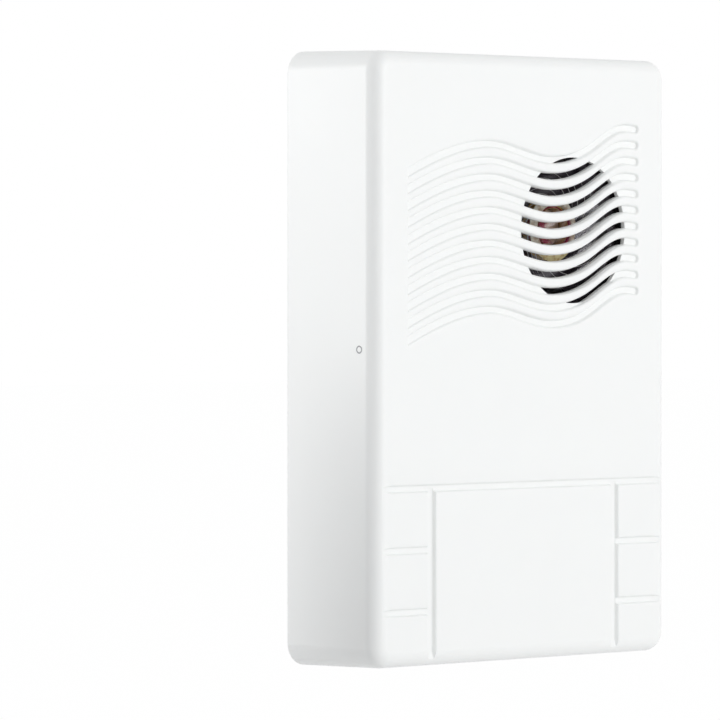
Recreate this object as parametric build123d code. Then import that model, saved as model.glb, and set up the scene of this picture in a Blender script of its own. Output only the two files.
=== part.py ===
from build123d import *
import os
from math import asin, cos, pi, radians, sin, sqrt, tan

# A battery chime box for a wired bell push. It hangs on a wall.
# Each piece is drawn with x across the wall, y up the wall and z out from the wall,
# from the centre of the face that lies on the wall. The pieces are stood upright as they are written.

os.makedirs("parts", exist_ok=True)

# Case: a one-piece moulded cover that wraps back to the wall
case_width = 91.1  # across the front face
case_height = 135.0  # up the front face
case_depth = 28.3  # wall to front face
side_draft = 1.24  # degrees that each side opens towards the wall
corner_radius = 4.4
front_edge_radius = 3.4
case_wall = 2.0
front_wall = 2.1
overrun = 1.0  # how far a cutting shape passes the faces that it cuts

# Wave grille: grooves in the front that open where the wall behind them is thin
wave_count = 11
wave_pitch = 3.68
wave_margin_left = 9.8  # left edge of the front to the grooves
wave_margin_right = 10.35
wave_rise = 12.15  # left end of a groove to its highest point
wave_drop = 26.06  # left end of the lowest groove, below the speaker's centre
groove_width = 1.75
groove_depth = 1.05
groove_opening = 0.05  # how far a groove cuts past the thin wall
groove_samples = 16
# knots of the wave: share of its length, share of its rise, slope in those shares
wave_knot_shares = [
    (0.0, 0.0, 3.5),
    (0.356, 0.646, 0.0),
    (0.631, 0.3745, 0.0),
    (0.786, 0.568, 2.69),
    (0.958, 1.0, 0.0),
    (1.0, 0.979, -0.95),
]
# share of the length, share of the full width
groove_width_shares = [(0.0, 0.15), (0.15, 0.8), (0.36, 0.92), (0.63, 1.0), (1.0, 1.0)]

# Speaker opening behind the grille
opening_radius = 16.9

# Panel relief below the grille
panel_foot = 1.8  # bottom edge of the front to the upright channels
panel_height = 37.3
panel_row_pitch = 13.55
panel_rows = 3
panel_column_inset = 16.95  # side edge of the front to an upright channel
row_channel_width = 1.5
column_channel_width = 1.8
channel_depth = 0.8
row_end_margin = 2.35  # side edge of the front to the ends of the rows

# Base plate
plate_thickness = 2.2
base_clearance = 0.4
rim_wall = 1.4
rim_height = 2.8
wall_screw_side_inset = 6.26
wall_screw_end_inset = 8.21
wall_screw_hole_radius = 2.1
wall_screw_boss_radius = 4.2
wall_screw_boss_height = 1.2

# Snap tongues
tongue_width = 8.0
tongue_thickness = 1.4
tongue_height = 10.6
tongue_inset = 0.5
tongue_x = 25.0
nub_height = 1.6
nub_reach = 0.3
snap_recess_depth = 0.6
snap_recess_margin = 1.0

# Cable entry
cable_rise_share = 0.4837  # of the height between the cells and the board
cable_hole_radius = 4.0
cable_bore_radius = 2.0
grommet_clearance = 0.05
grommet_lip = 1.4
grommet_lip_height = 1.2

# Two AA cells
cell_count = 2
cell_radius = 7.25
cell_length = 50.5
cell_jacket = 0.2
nub_radius = 2.75
cell_nub_length = 1.2
washer_inner_radius = 3.4
cell_washer_thickness = 0.3
cell_gap = 1.0
cell_clearance = 0.3

# Battery bay
bay_foot_gap = 4.11  # above the base plate's rim
bay_wall = 1.4
bay_wall_height = 9.6
bay_end_height = 10.8
bay_divider = 0.6
bay_divider_height = 4.6
finger_notch_radius = 7.0
contact_thickness = 0.4
contact_width = 12.0
contact_height = 11.6
contact_seat = 0.3  # above the plate
dimple_radius = 2.4
dimple_height = 0.8
tab_width = 4.0
tab_height = 3.4
hold_rib_thickness = 1.2
hold_rib_x = 15.0
hold_rib_gap = 0.5
hold_rib_root = 0.05  # how far a rib runs into the front wall

# Battery springs
spring_wire_radius = 0.35
spring_turns = 4
spring_pitch = 1.25
spring_foot_radius = 4.3
spring_tip_radius = 3.1
spring_touch = 0.02

# Circuit board
board_width = 30.0
board_height = 38.0
board_thickness = 1.6
board_side_share = 0.1944  # of the width that the board and the speaker leave free
board_head_share = 0.3071  # of the height that the board and the cells leave free
board_seat = 5.8  # post height above the plate
board_inset = 3.0
board_post_radius = 2.6
board_pin_radius = 0.9
board_pin_length = 2.6
board_clearance = 0.15

# Screws into the plastic posts
pilot_clearance = 0.05
board_screw_radius = 1.1
board_screw_head_radius = 2.1
board_screw_head_height = 1.4
board_screw_length = 6.0
screw_slot_width = 0.6
screw_slot_depth = 0.7

# Parts on the board
leg_radius = 0.3
leg_hole_radius = 0.4
leg_below = 1.0
solder_height = 0.8
solder_foot_radius = 0.9
solder_tip_radius = 0.45
chip_radius = 4.2
chip_height = 1.7
chip_place_shares = (-0.117, -0.066)
can_places = [  # share of the board across, share up, radius, height
    (0.217, -0.171, 3.15, 11.0),
    (0.25, 0.047, 2.5, 11.0),
]
can_leg_span = 2.5
can_lift = 0.3
can_edge_radius = 0.4
can_groove_depth = 0.25
can_groove_height = 1.2
disc_radius = 2.6
disc_thickness = 2.0
disc_lift = 2.0
disc_leg_span = 2.5
disc_place_shares = [(-0.377, -0.026), (-0.377, 0.118)]
transistor_radius = 2.3
transistor_height = 4.6
transistor_lift = 2.4
transistor_flat = 1.3  # flat face, from the centre
transistor_leg_pitch = 1.27
transistor_place_shares = (-0.383, -0.21)
resistor_radius = 1.15
resistor_length = 6.3
resistor_span = 10.0
resistor_lift = 0.3
resistor_place_shares = [(0.033, 0.408), (0.033, 0.31), (0.033, 0.213)]
diode_radius = 0.95
diode_length = 3.8
diode_span = 8.0
diode_place_shares = (-0.24, 0.21)

# Terminal block for the bell wire
terminal_pitch = 5.08
terminal_count = 2
terminal_margin = 0.3
terminal_depth = 8.2
terminal_height = 10.0
terminal_edge_gap = 0.5
terminal_x = -1.5  # from the board's centre
terminal_well_radius = 1.9
terminal_cavity_width = 3.6
terminal_cavity_height = 4.6
terminal_cavity_depth = 6.4
terminal_floor = 1.2
clamp_clearance = 0.15
clamp_wire_gap = 2.3
clamp_screw_radius = 1.05
clamp_screw_head_radius = 1.65
clamp_screw_head_height = 1.3
clamp_screw_lift = 0.6
pin_radius = 0.5
pin_hole_radius = 0.6

# Speaker
speaker_side_share = 0.4117  # of the width that the board and the speaker leave free
speaker_above_board = 0.06  # its centre above the board's centre
gasket_gap = 0.2
gasket_thickness = 2.6
gasket_width = 1.5
gasket_inner_radius = 17.2
film_thickness = 0.15
basket_radius = 20.0
basket_sheet = 0.8
basket_depth = 7.7
basket_floor_radius = 12.5
basket_collar = 0.8
basket_collar_height = 1.6
basket_window_width = 9.0
basket_window_margin = 1.0
pole_radius = 4.3
pole_thickness = 1.3
pole_depth = 5.2  # rim to pole face
magnet_radius = 4.0
magnet_thickness = 3.5
yoke_inner_radius = 5.6
yoke_wall = 1.6
yoke_floor = 1.4
former_inner_radius = 4.6
former_wall = 0.15
coil_wall = 0.5
coil_length = 4.3
coil_top_depth = 2.9
former_above = 0.3
former_below = 0.4
glue_width = 1.3
glue_height = 0.5
glue_gap = 0.02
dome_height = 1.7
dome_side_share = 0.75  # height of the dome halfway out
surround_inner_radius = 13.8
surround_gap = 0.05
surround_drop = 0.9
surround_roll = 0.9
tag_board_width = 11.0
tag_board_depth = 4.2
tag_board_thickness = 0.8
tag_board_gap = 1.0  # from the yoke
tag_angle = 180.0  # towards the circuit board
tag_span = 6.0
tag_width = 1.8
tag_length = 6.6
tag_thickness = 0.3
tag_hole_radius = 0.45
tinsel_radius = 0.2
speaker_screws = 4
speaker_screw_angle = 45.0
speaker_screw_outset = 1.8
speaker_post_radius = 2.6
speaker_post_fin = 9.0
speaker_post_fin_height = 12.0
speaker_post_fin_thickness = 1.2
speaker_screw_radius = 1.1
speaker_screw_head_radius = 2.2
speaker_screw_head_height = 1.3
speaker_screw_length = 9.0
speaker_washer_radius = 3.0
speaker_washer_thickness = 0.5
speaker_washer_hole_radius = 1.25

# Leads
lead_radius = 0.65
solder_drop_radius = 0.9
solder_drop_height = 0.8
solder_drop_gap = 0.05

# Places and sizes that follow from the ones above
draft_growth = case_depth * tan(radians(side_draft))
front_inside = case_depth - front_wall
thin_wall_back = case_depth - groove_depth + groove_opening
base_width = case_width + 2 * (draft_growth - case_wall - base_clearance)
base_height = case_height + 2 * (draft_growth - case_wall - base_clearance)
base_corner = corner_radius - case_wall - base_clearance
wall_screw_x = base_width / 2 - wall_screw_side_inset
wall_screw_y = base_height / 2 - wall_screw_end_inset
room_width = base_width - 2 * rim_wall
room_height = base_height - 2 * rim_wall
rim_front = front_inside - gasket_gap - gasket_thickness - film_thickness
rim_back = rim_front - basket_sheet
pole_front = rim_front - pole_depth
coil_top = rim_front - coil_top_depth
yoke_outer_radius = yoke_inner_radius + yoke_wall
yoke_back = pole_front - pole_thickness - magnet_thickness - yoke_floor
former_outer_radius = former_inner_radius + former_wall
coil_outer_radius = former_outer_radius + coil_wall
basket_back = rim_front - basket_depth
tag_front = basket_back - tag_board_thickness
board_back = plate_thickness + board_seat
board_front = board_back + board_thickness
cell_pitch = 2 * cell_radius + cell_gap
cell_axis = plate_thickness + cell_clearance + cell_radius
spring_length = spring_turns * spring_pitch + 2 * (spring_wire_radius + spring_touch)
bay_length = 2 * contact_thickness + dimple_height + cell_length + spring_length
bay_height = cell_count * cell_pitch - cell_gap + 2 * cell_clearance
bay_y = -room_height / 2 + bay_foot_gap + bay_wall + bay_height / 2
bay_top = bay_y + bay_height / 2 + bay_wall
free_width = room_width - board_width - 2 * basket_radius
free_height = room_height / 2 - bay_top - board_height
board_x = (board_width - room_width) / 2 + board_side_share * free_width
board_y = (room_height - board_height) / 2 - board_head_share * free_height
speaker_x = room_width / 2 - basket_radius - speaker_side_share * free_width
speaker_y = board_y + speaker_above_board
cable_x = board_x
cable_y = bay_top + cable_rise_share * (board_y - board_height / 2 - bay_top)
wave_length = case_width - wave_margin_left - wave_margin_right
wave_left = case_width / 2 - wave_margin_left  # left ends, left of centre
wave_bottom = speaker_y - wave_drop
panel_bottom = case_height / 2 - panel_foot  # below centre
panel_top = panel_bottom - panel_height  # below centre
panel_column_x = case_width / 2 - panel_column_inset
channel_reach = case_width / 2 - row_end_margin
terminal_y =board_y - board_height / 2 + terminal_edge_gap + terminal_depth / 2
terminal_width = terminal_count * terminal_pitch + 2 * terminal_margin


def drum(radius, length, x=0, y=0, z=0):
    """A round block that stands on z."""
    return Pos(x, y, z) * Cylinder(radius, length, align=(Align.CENTER, Align.CENTER, Align.MIN))


def ring(outer, inner, length, x=0, y=0, z=0):
    """A round sleeve that stands on z."""
    return drum(outer, length, x, y, z) - drum(inner, length + 2 * overrun, x, y, z - overrun)


def block(width, height, length, x=0, y=0, z=0):
    """A square-cornered block that stands on z."""
    return Pos(x, y, z) * Box(width, height, length, align=(Align.CENTER, Align.CENTER, Align.MIN))


def group(solids):
    """Separate solids that are one node."""
    return Compound(children=list(solids))


def on_board(shares):
    """The place on the circuit board at these shares of its width and height."""
    return board_x + shares[0] * board_width, board_y + shares[1] * board_height


def case_block(inset, z_low, z_high):
    """The drafted outside of the case between two levels, drawn in by a wall."""
    sections = []
    for z in (z_low, z_high):
        growth = (case_depth - z) * tan(radians(side_draft)) - inset
        outline = RectangleRounded(
            case_width + 2 * growth, case_height + 2 * growth, corner_radius - inset
        )
        sections.append(Pos(0, 0, z) * outline)
    return loft(sections, ruled=True)


def wave(share):
    """Height and slope of the wave at a share of its length, in true sizes."""
    for (x0, y0, s0), (x1, y1, s1) in zip(wave_knot_shares, wave_knot_shares[1:]):
        if share <= x1:
            break
    span = x1 - x0
    t = (share - x0) / span
    height = (
        (2 * t**3 - 3 * t**2 + 1) * y0
        + (t**3 - 2 * t**2 + t) * span * s0
        + (3 * t**2 - 2 * t**3) * y1
        + (t**3 - t**2) * span * s1
    )
    slope = (
        (6 * t**2 - 6 * t) * y0 / span
        + (3 * t**2 - 4 * t + 1) * s0
        + (6 * t - 6 * t**2) * y1 / span
        + (3 * t**2 - 2 * t) * s1
    )
    return height * wave_rise, slope * wave_rise / wave_length


def groove_half_width(share):
    """Half of the groove's width at a share of its length: it narrows to the left."""
    for (x0, w0), (x1, w1) in zip(groove_width_shares, groove_width_shares[1:]):
        if share <= x1:
            break
    return (w0 + (w1 - w0) * (share - x0) / (x1 - x0)) * groove_width / 2


def groove_outline():
    """One groove seen from the front, with its left end at the origin."""
    edges = []
    for side in (1, -1):
        points = []
        for i in range(groove_samples + 1):
            share = i / groove_samples
            height, slope = wave(share)
            offset = side * groove_half_width(share) * sqrt(1 + slope**2)
            points.append((share * wave_length, height + offset))
        edges.append(Spline(*points))
    upper, lower = edges
    height, _ = wave(1)
    tip = (wave_length + groove_width / 2, height)
    end = ThreePointArc(upper @ 1, tip, lower @ 1)
    start = Line(lower @ 0, upper @ 0)
    return make_face([upper, end, lower, start])


def wave_grooves():
    """All grooves of the grille, as cutting shapes."""
    outline = groove_outline()
    depth = groove_depth + overrun
    cutters = []
    for i in range(wave_count):
        place = Pos(-wave_left, wave_bottom + i * wave_pitch, case_depth - groove_depth)
        cutters.append(place * extrude(outline, depth))
    return cutters


def panel_channels():
    """The relief below the grille: rows at the sides of two upright channels."""
    z = case_depth - channel_depth
    depth = channel_depth + overrun
    cutters = [block(2 * channel_reach, row_channel_width, depth, 0, -panel_top, z)]
    for side in (-1, 1):
        length = panel_bottom - panel_top
        middle = -(panel_top + panel_bottom) / 2
        x = side * panel_column_x
        cutters.append(block(column_channel_width, length, depth, x, middle, z))
        for row in range(1, panel_rows):
            y = -panel_top - row * panel_row_pitch
            width = channel_reach - panel_column_x
            x_row = side * (channel_reach + panel_column_x) / 2
            cutters.append(block(width, row_channel_width, depth, x_row, y, z))
    return cutters


def snap_recesses():
    """Shallow pockets in the cover's top and bottom walls, level with the tongues' nubs."""
    z = plate_thickness + tongue_height - nub_height - snap_recess_margin
    inside = base_height / 2 + base_clearance
    cutters = []
    for side in (-1, 1):
        for x in (-tongue_x, tongue_x):
            y = side * (inside + snap_recess_depth / 2 - overrun / 2)
            width = tongue_width + 2 * snap_recess_margin
            height = snap_recess_depth + overrun
            length = nub_height + 2 * snap_recess_margin
            cutters.append(block(width, height, length, x, y, z))
    return cutters


def hold_ribs():
    """Ribs inside the cover that keep the cells down."""
    z = cell_axis + cell_radius + hold_rib_gap
    height = bay_height - 2 * bay_wall
    for x in (-hold_rib_x, hold_rib_x):
        yield block(hold_rib_thickness, height, front_inside - z + hold_rib_root, x, bay_y, z)


def front_cover():
    shell = case_block(0, 0, case_depth)
    front_edges = shell.faces().sort_by(Axis.Z)[-1].edges()
    shell = fillet(front_edges, front_edge_radius)
    shell -= case_block(case_wall, -overrun, front_inside)
    shell -= snap_recesses()
    pocket = thin_wall_back - front_inside + overrun
    shell -= drum(opening_radius, pocket, speaker_x, speaker_y, front_inside - overrun)
    shell -= panel_channels()
    shell -= wave_grooves()
    return shell + list(hold_ribs())


def speaker_post_places():
    """Centres of the speaker's screws, with the direction of each from the speaker's centre."""
    radius = basket_radius + speaker_screw_outset
    for i in range(speaker_screws):
        angle = speaker_screw_angle + i * 360 / speaker_screws
        x = speaker_x + radius * cos(radians(angle))
        y = speaker_y + radius * sin(radians(angle))
        yield x, y, angle


def board_corners():
    """Two screwed and two pinned corners of the circuit board."""
    dx = board_width / 2 - board_inset
    dy = board_height / 2 - board_inset
    screwed = [(board_x - dx, board_y + dy), (board_x + dx, board_y - dy)]
    pinned = [(board_x + dx, board_y + dy), (board_x - dx, board_y - dy)]
    return screwed, pinned


def battery_bay():
    """Moulded walls round the cells."""
    outer_length = bay_length + 2 * bay_wall
    outer_height = bay_height + 2 * bay_wall
    walls = block(outer_length, outer_height, bay_end_height, 0, bay_y, plate_thickness)
    inner = bay_end_height + overrun
    walls -= block(bay_length, bay_height, inner, 0, bay_y, plate_thickness)
    drop = bay_end_height - bay_wall_height + overrun
    walls -= block(bay_length, outer_height, drop, 0, bay_y, plate_thickness + bay_wall_height)
    notch_z = plate_thickness + bay_wall_height + finger_notch_radius / 2
    notch = Pos(0, bay_y, notch_z) * Rot(90, 0, 0) * Cylinder(finger_notch_radius, outer_height)
    walls -= notch
    divider_length = cell_length - 2 * contact_width
    divider = block(divider_length, bay_divider, bay_divider_height, 0, bay_y, plate_thickness)
    return walls + divider


def snap_tongues():
    """Four upright tongues with a nub that looks into the cover's recesses."""
    for side in (-1, 1):
        for x in (-tongue_x, tongue_x):
            y = side * (base_height / 2 - tongue_inset - tongue_thickness / 2)
            tongue = block(tongue_width, tongue_thickness, tongue_height, x, y, plate_thickness)
            nub_y = side * (base_height / 2 - tongue_inset + nub_reach / 2)
            nub_z = plate_thickness + tongue_height - nub_height
            yield tongue + block(tongue_width, nub_reach, nub_height, x, nub_y, nub_z)


def base_plate():
    outline = RectangleRounded(base_width, base_height, base_corner)
    inner = RectangleRounded(base_width - 2 * rim_wall, base_height - 2 * rim_wall, base_corner / 2)
    plate = extrude(outline, plate_thickness)
    plate += Pos(0, 0, plate_thickness) * extrude(outline - inner, rim_height)
    plate += [drum(cable_hole_radius + grommet_lip + rim_wall, grommet_lip_height,
                   cable_x, cable_y, plate_thickness)]
    plate += list(snap_tongues())
    plate += battery_bay()
    screwed, pinned = board_corners()
    plate += [drum(board_post_radius, board_seat, x, y, plate_thickness) for x, y in screwed + pinned]
    pin_length = board_thickness + board_pin_length
    plate += [drum(board_pin_radius, pin_length, x, y, board_back) for x, y in pinned]
    post_height = rim_back - plate_thickness
    cutters = []
    for x, y, angle in speaker_post_places():
        plate += drum(speaker_post_radius, post_height, x, y, plate_thickness)
        for turn in (0, 90):
            fin = block(speaker_post_fin, speaker_post_fin_thickness, speaker_post_fin_height)
            plate += Pos(x, y, plate_thickness) * Rot(0, 0, angle + turn) * fin
        depth = speaker_screw_length + overrun
        hole = speaker_screw_radius + pilot_clearance
        cutters.append(drum(hole, depth, x, y, rim_back - speaker_screw_length))
    for x, y in screwed:
        hole = board_screw_radius + pilot_clearance
        cutters.append(drum(hole, board_screw_length + overrun, x, y, board_back - board_screw_length))
    for x in (-wall_screw_x, wall_screw_x):
        for y in (-wall_screw_y, wall_screw_y):
            plate += drum(wall_screw_boss_radius, wall_screw_boss_height, x, y, plate_thickness)
            depth = plate_thickness + wall_screw_boss_height + 2 * overrun
            cutters.append(drum(wall_screw_hole_radius, depth, x, y, -overrun))
    cutters.append(drum(cable_hole_radius, plate_thickness + grommet_lip_height + 2 * overrun,
                        cable_x, cable_y, -overrun))
    return plate - cutters


def cable_grommet():
    """A soft ring in the cable hole, with a lip inside the box."""
    seat = plate_thickness + grommet_lip_height
    body = drum(cable_hole_radius - grommet_clearance, seat, cable_x, cable_y)
    body += drum(cable_hole_radius + grommet_lip, grommet_lip_height, cable_x, cable_y, seat)
    length = seat + grommet_lip_height + 2 * overrun
    return body - drum(cable_bore_radius, length, cable_x, cable_y, -overrun)


def cell_places():
    """Each cell's height in the bay and the side that its nub points to, the upper cell first."""
    for i in range(cell_count):
        y = bay_y + ((cell_count - 1) / 2 - i) * cell_pitch
        yield y, 1 if i % 2 == 0 else -1


def in_bay(part, y, side):
    """Lay a part that was drawn along z in the bay, with z towards the nub's side."""
    return Pos(0, y, cell_axis) * Rot(0, 90 * side, 0) * part


def cell_start():
    """Flat end of a cell, measured from the bay's middle towards its nub."""
    return -bay_length / 2 + contact_thickness + spring_length


def cell_cans():
    cans = []
    for y, side in cell_places():
        body_length = cell_length - cell_nub_length
        can = drum(cell_radius - cell_jacket, body_length, 0, 0, cell_start())
        can += drum(nub_radius, cell_nub_length, 0, 0, cell_start() + body_length)
        cans.append(in_bay(can, y, side))
    return group(cans)


def cell_jackets():
    length = cell_length - cell_nub_length
    sleeve = ring(cell_radius, cell_radius - cell_jacket, length, 0, 0, cell_start())
    return group(in_bay(sleeve, y, side) for y, side in cell_places())


def cell_washers():
    start = cell_start() + cell_length - cell_nub_length
    outer = cell_radius - cell_jacket
    washer = ring(outer, washer_inner_radius, cell_washer_thickness, 0, 0, start)
    return group(in_bay(washer, y, side) for y, side in cell_places())


def spring_point(turn):
    """Centre of the wire and its direction after some turns from the foot."""
    angle = 2 * pi * turn
    taper = (spring_tip_radius - spring_foot_radius) / spring_turns
    radius = spring_foot_radius + taper * turn
    point = Vector(radius * cos(angle), radius * sin(angle), spring_pitch * turn)
    direction = Vector(
        taper * cos(angle) - 2 * pi * radius * sin(angle),
        taper * sin(angle) + 2 * pi * radius * cos(angle),
        spring_pitch,
    )
    return point, direction.normalized()


def biarc(start, end):
    """Two arcs that leave one point and reach the next along their directions."""
    (p0, t0), (p1, t1) = start, end
    gap = p1 - p0
    both = t0 + t1
    spread = 2 * (1 - t0.dot(t1))
    reach = (-gap.dot(both) + sqrt(gap.dot(both) ** 2 + spread * gap.dot(gap))) / spread
    middle = (p0 + t0 * reach + p1 - t1 * reach) / 2
    first = Edge.make_tangent_arc(p0, t0, middle)
    return [first, Edge.make_tangent_arc(middle, first % 1, p1)]


def battery_spring():
    """A wound cone that stands on its wide foot."""
    edges = []
    quarters = 4 * spring_turns
    for i in range(quarters):
        edges += biarc(spring_point(i / 4), spring_point((i + 1) / 4))
    path = Wire(edges)
    start, direction = spring_point(0)
    wire_section = Plane(origin=start, z_dir=direction) * Circle(spring_wire_radius)
    return sweep(wire_section, path=path)


def battery_springs():
    foot = -bay_length / 2 + contact_thickness + spring_touch + spring_wire_radius
    coil = Pos(0, 0, foot) * battery_spring()
    return group(in_bay(coil, y, side) for y, side in cell_places())


def spring_gap():
    """Least gap between neighbouring turns of the spring."""
    steps = 24
    points = [spring_point(i / steps)[0] for i in range(steps * spring_turns + 1)]
    least = min(
        (points[j] - points[i]).length
        for i in range(len(points))
        for j in range(i + steps // 2, len(points))
    )
    return least - 2 * spring_wire_radius


def contact_strip(y, height, with_tab):
    """A strip that stands against the bay's left end wall."""
    x = -bay_length / 2 + contact_thickness / 2
    z = plate_thickness + contact_seat
    strip = block(contact_thickness, height, contact_height, x, y, z)
    if with_tab:
        strip += block(contact_thickness, tab_width, tab_height, x, y, z + contact_height)
    return strip


def contact_dimple(y, side):
    """The raised button that meets a cell's nub."""
    start = bay_length / 2 - contact_thickness - dimple_height
    tip_radius = dimple_radius / 2
    button = Pos(0, 0, start + dimple_height / 2) * Cone(
        dimple_radius, tip_radius, dimple_height, rotation=(180, 0, 0)
    )
    return in_bay(button, y, side)


def negative_tab():
    """Left strip behind the upper cell's spring."""
    (upper, _), _ = cell_places()
    return contact_strip(upper, contact_width, True)


def positive_tab():
    """Left strip with a button for the lower cell's nub."""
    _, (lower, side) = cell_places()
    return contact_strip(lower, contact_width, True) + contact_dimple(lower, side)


def series_contact():
    """Right strip that joins the upper cell's nub to the lower cell's spring."""
    (upper, side), _ = cell_places()
    strip = mirror(contact_strip(bay_y, cell_pitch + contact_width, False), about=Plane.YZ)
    return strip + contact_dimple(upper, side)


def leg_places():
    """Every wire leg that passes the board: place and the level where the leg ends above it."""
    legs = []
    for x_share, y_share, _, _ in can_places:
        x, y = on_board((x_share, y_share))
        legs += [(x + side * can_leg_span / 2, y, can_lift) for side in (-1, 1)]
    for shares in disc_place_shares:
        x, y = on_board(shares)
        legs += [(x + side * disc_leg_span / 2, y, disc_lift) for side in (-1, 1)]
    x, y = on_board(transistor_place_shares)
    legs += [(x + i * transistor_leg_pitch, y, transistor_lift) for i in (-1, 0, 1)]
    return legs


def axial_places():
    """Parts that lie along the board: place, turn, body length, body radius and leg span."""
    for shares in resistor_place_shares:
        yield on_board(shares), 0, resistor_length, resistor_radius, resistor_span
    yield on_board(diode_place_shares), 90, diode_length, diode_radius, diode_span


def axial_leg_ends():
    for (x, y), turn, _, _, span in axial_places():
        for side in (-1, 1):
            along = side * span / 2
            yield x + along * cos(radians(turn)), y + along * sin(radians(turn))


def terminal_places():
    for i in range(terminal_count):
        yield board_x + terminal_x + (i - (terminal_count - 1) / 2) * terminal_pitch


def circuit_board():
    board = block(board_width, board_height, board_thickness, board_x, board_y, board_back)
    depth = board_thickness + 2 * overrun
    low = board_back - overrun
    screwed, pinned = board_corners()
    holes = [drum(board_screw_radius + board_clearance, depth, x, y, low) for x, y in screwed]
    holes += [drum(board_pin_radius + board_clearance, depth, x, y, low) for x, y in pinned]
    holes += [drum(leg_hole_radius, depth, x, y, low) for x, y, _ in leg_places()]
    holes += [drum(leg_hole_radius, depth, x, y, low) for x, y in axial_leg_ends()]
    holes += [drum(pin_hole_radius, depth, x, terminal_y, low) for x in terminal_places()]
    return board - holes


def slotted_screw(radius, length, head_radius, head_height, x, y, seat):
    """A screw whose head stands on the seat level."""
    screw = drum(radius, length, x, y, seat - length) + drum(head_radius, head_height, x, y, seat)
    slot_z = seat + head_height - screw_slot_depth
    return screw - block(2 * head_radius, screw_slot_width, screw_slot_depth + overrun, x, y, slot_z)


def board_screws():
    length = board_thickness + board_screw_length - pilot_clearance
    screwed, _ = board_corners()
    return group(
        slotted_screw(board_screw_radius, length, board_screw_head_radius,
                      board_screw_head_height, x, y, board_front)
        for x, y in screwed
    )


def melody_chip():
    """A hardened drop of black resin over the chip."""
    ball_radius = (chip_radius**2 + chip_height**2) / (2 * chip_height)
    middle = asin(chip_radius / ball_radius) / 2
    rim = (chip_radius, 0, 0)
    side = (ball_radius * sin(middle), 0, chip_height - ball_radius * (1 - cos(middle)))
    top = (0, 0, chip_height)
    outline = make_face([ThreePointArc(rim, side, top), Line(top, (0, 0, 0)), Line((0, 0, 0), rim)])
    x, y = on_board(chip_place_shares)
    return Pos(x, y, board_front) * revolve(outline, Axis.Z)


def electrolytic_cans():
    cans = []
    for x_share, y_share, radius, height in can_places:
        x, y = on_board((x_share, y_share))
        can = drum(radius, height, x, y, board_front + can_lift)
        can = fillet(can.edges().filter_by(GeomType.CIRCLE), can_edge_radius)
        groove_z = board_front + can_lift + can_groove_height
        can -= ring(radius + overrun, radius - can_groove_depth, can_groove_depth, x, y, groove_z)
        cans.append(can)
    return group(cans)


def disc_capacitors():
    discs = []
    for shares in disc_place_shares:
        x, y = on_board(shares)
        disc = Rot(90, 0, 0) * Cylinder(disc_radius, disc_thickness)
        disc = fillet(disc.edges().filter_by(GeomType.CIRCLE), disc_thickness / 3)
        discs.append(Pos(x, y, board_front + disc_lift + disc_radius) * disc)
    return group(discs)


def transistor():
    """A round body with one flat face."""
    x, y = on_board(transistor_place_shares)
    z = board_front + transistor_lift
    body = drum(transistor_radius, transistor_height, x, y, z)
    cut_y = y - transistor_flat - transistor_radius
    return body - block(2 * transistor_radius, 2 * transistor_radius, transistor_height, x, cut_y, z)


def axial_body(length, radius):
    """A rounded bar along x."""
    bar = Rot(0, 90, 0) * Cylinder(radius, length)
    return fillet(bar.edges().filter_by(GeomType.CIRCLE), radius / 2)


def resistors():
    z = board_front + resistor_lift + resistor_radius
    body = axial_body(resistor_length, resistor_radius)
    return group(Pos(*on_board(shares), z) * body for shares in resistor_place_shares)


def diode():
    z = board_front + resistor_lift + diode_radius
    x, y = on_board(diode_place_shares)
    return Pos(x, y, z) * Rot(0, 0, 90) * axial_body(diode_length, diode_radius)


def component_legs():
    """Legs of all the parts on the board."""
    bottom = board_back - leg_below
    legs = [
        drum(leg_radius, board_front + lift - bottom, x, y, bottom)
        for x, y, lift in leg_places()
    ]
    for (x, y), turn, length, radius, span in axial_places():
        axis = board_front + resistor_lift + radius
        for side in (-1, 1):
            foot = (side * span / 2, 0, bottom)
            elbow = (side * span / 2, 0, axis)
            end = (side * length / 2, 0, axis)
            path = FilletPolyline(foot, elbow, end, radius=2 * leg_radius)
            leg = sweep(Plane(origin=foot) * Circle(leg_radius), path=path)
            legs.append(Pos(x, y, 0) * Rot(0, 0, turn) * leg)
    return group(legs)


def solder_joints():
    """Cones of solder under the board, one round each leg."""
    cones = []
    places = [(x, y, leg_radius) for x, y, _ in leg_places()]
    places += [(x, y, leg_radius) for x, y in axial_leg_ends()]
    places += [(x, terminal_y, pin_radius) for x in terminal_places()]
    for x, y, inner in places:
        foot = inner + solder_foot_radius - leg_radius
        tip = inner + solder_tip_radius - leg_radius
        cone = Cone(tip, foot, solder_height)
        cone = Pos(x, y, board_back - solder_height / 2) * cone
        cones.append(cone - drum(inner, 2 * solder_height, x, y, board_back - 1.5 * solder_height))
    return group(cones)


def terminal_block():
    x_middle = board_x + terminal_x
    body = block(terminal_width, terminal_depth, terminal_height, x_middle, terminal_y, board_front)
    cavity_z = board_front + terminal_floor
    front_y = terminal_y - terminal_depth / 2
    cavity_y = front_y + (terminal_cavity_depth - overrun) / 2
    for x in terminal_places():
        body -= block(terminal_cavity_width, terminal_cavity_depth + overrun, terminal_cavity_height,
                      x, cavity_y, cavity_z)
        well_length = terminal_height - terminal_floor - terminal_cavity_height + 2 * overrun
        body -= drum(terminal_well_radius, well_length, x, terminal_y,
                     cavity_z + terminal_cavity_height - overrun)
        body -= drum(pin_hole_radius, terminal_floor + 2 * overrun, x, terminal_y,
                     board_front - overrun)
    return body


def clamp_size():
    width = terminal_cavity_width - 2 * clamp_clearance
    height = terminal_cavity_height - 2 * clamp_clearance
    depth = 2 * (terminal_cavity_depth - terminal_depth / 2 - clamp_clearance)
    return width, depth, height


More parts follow.
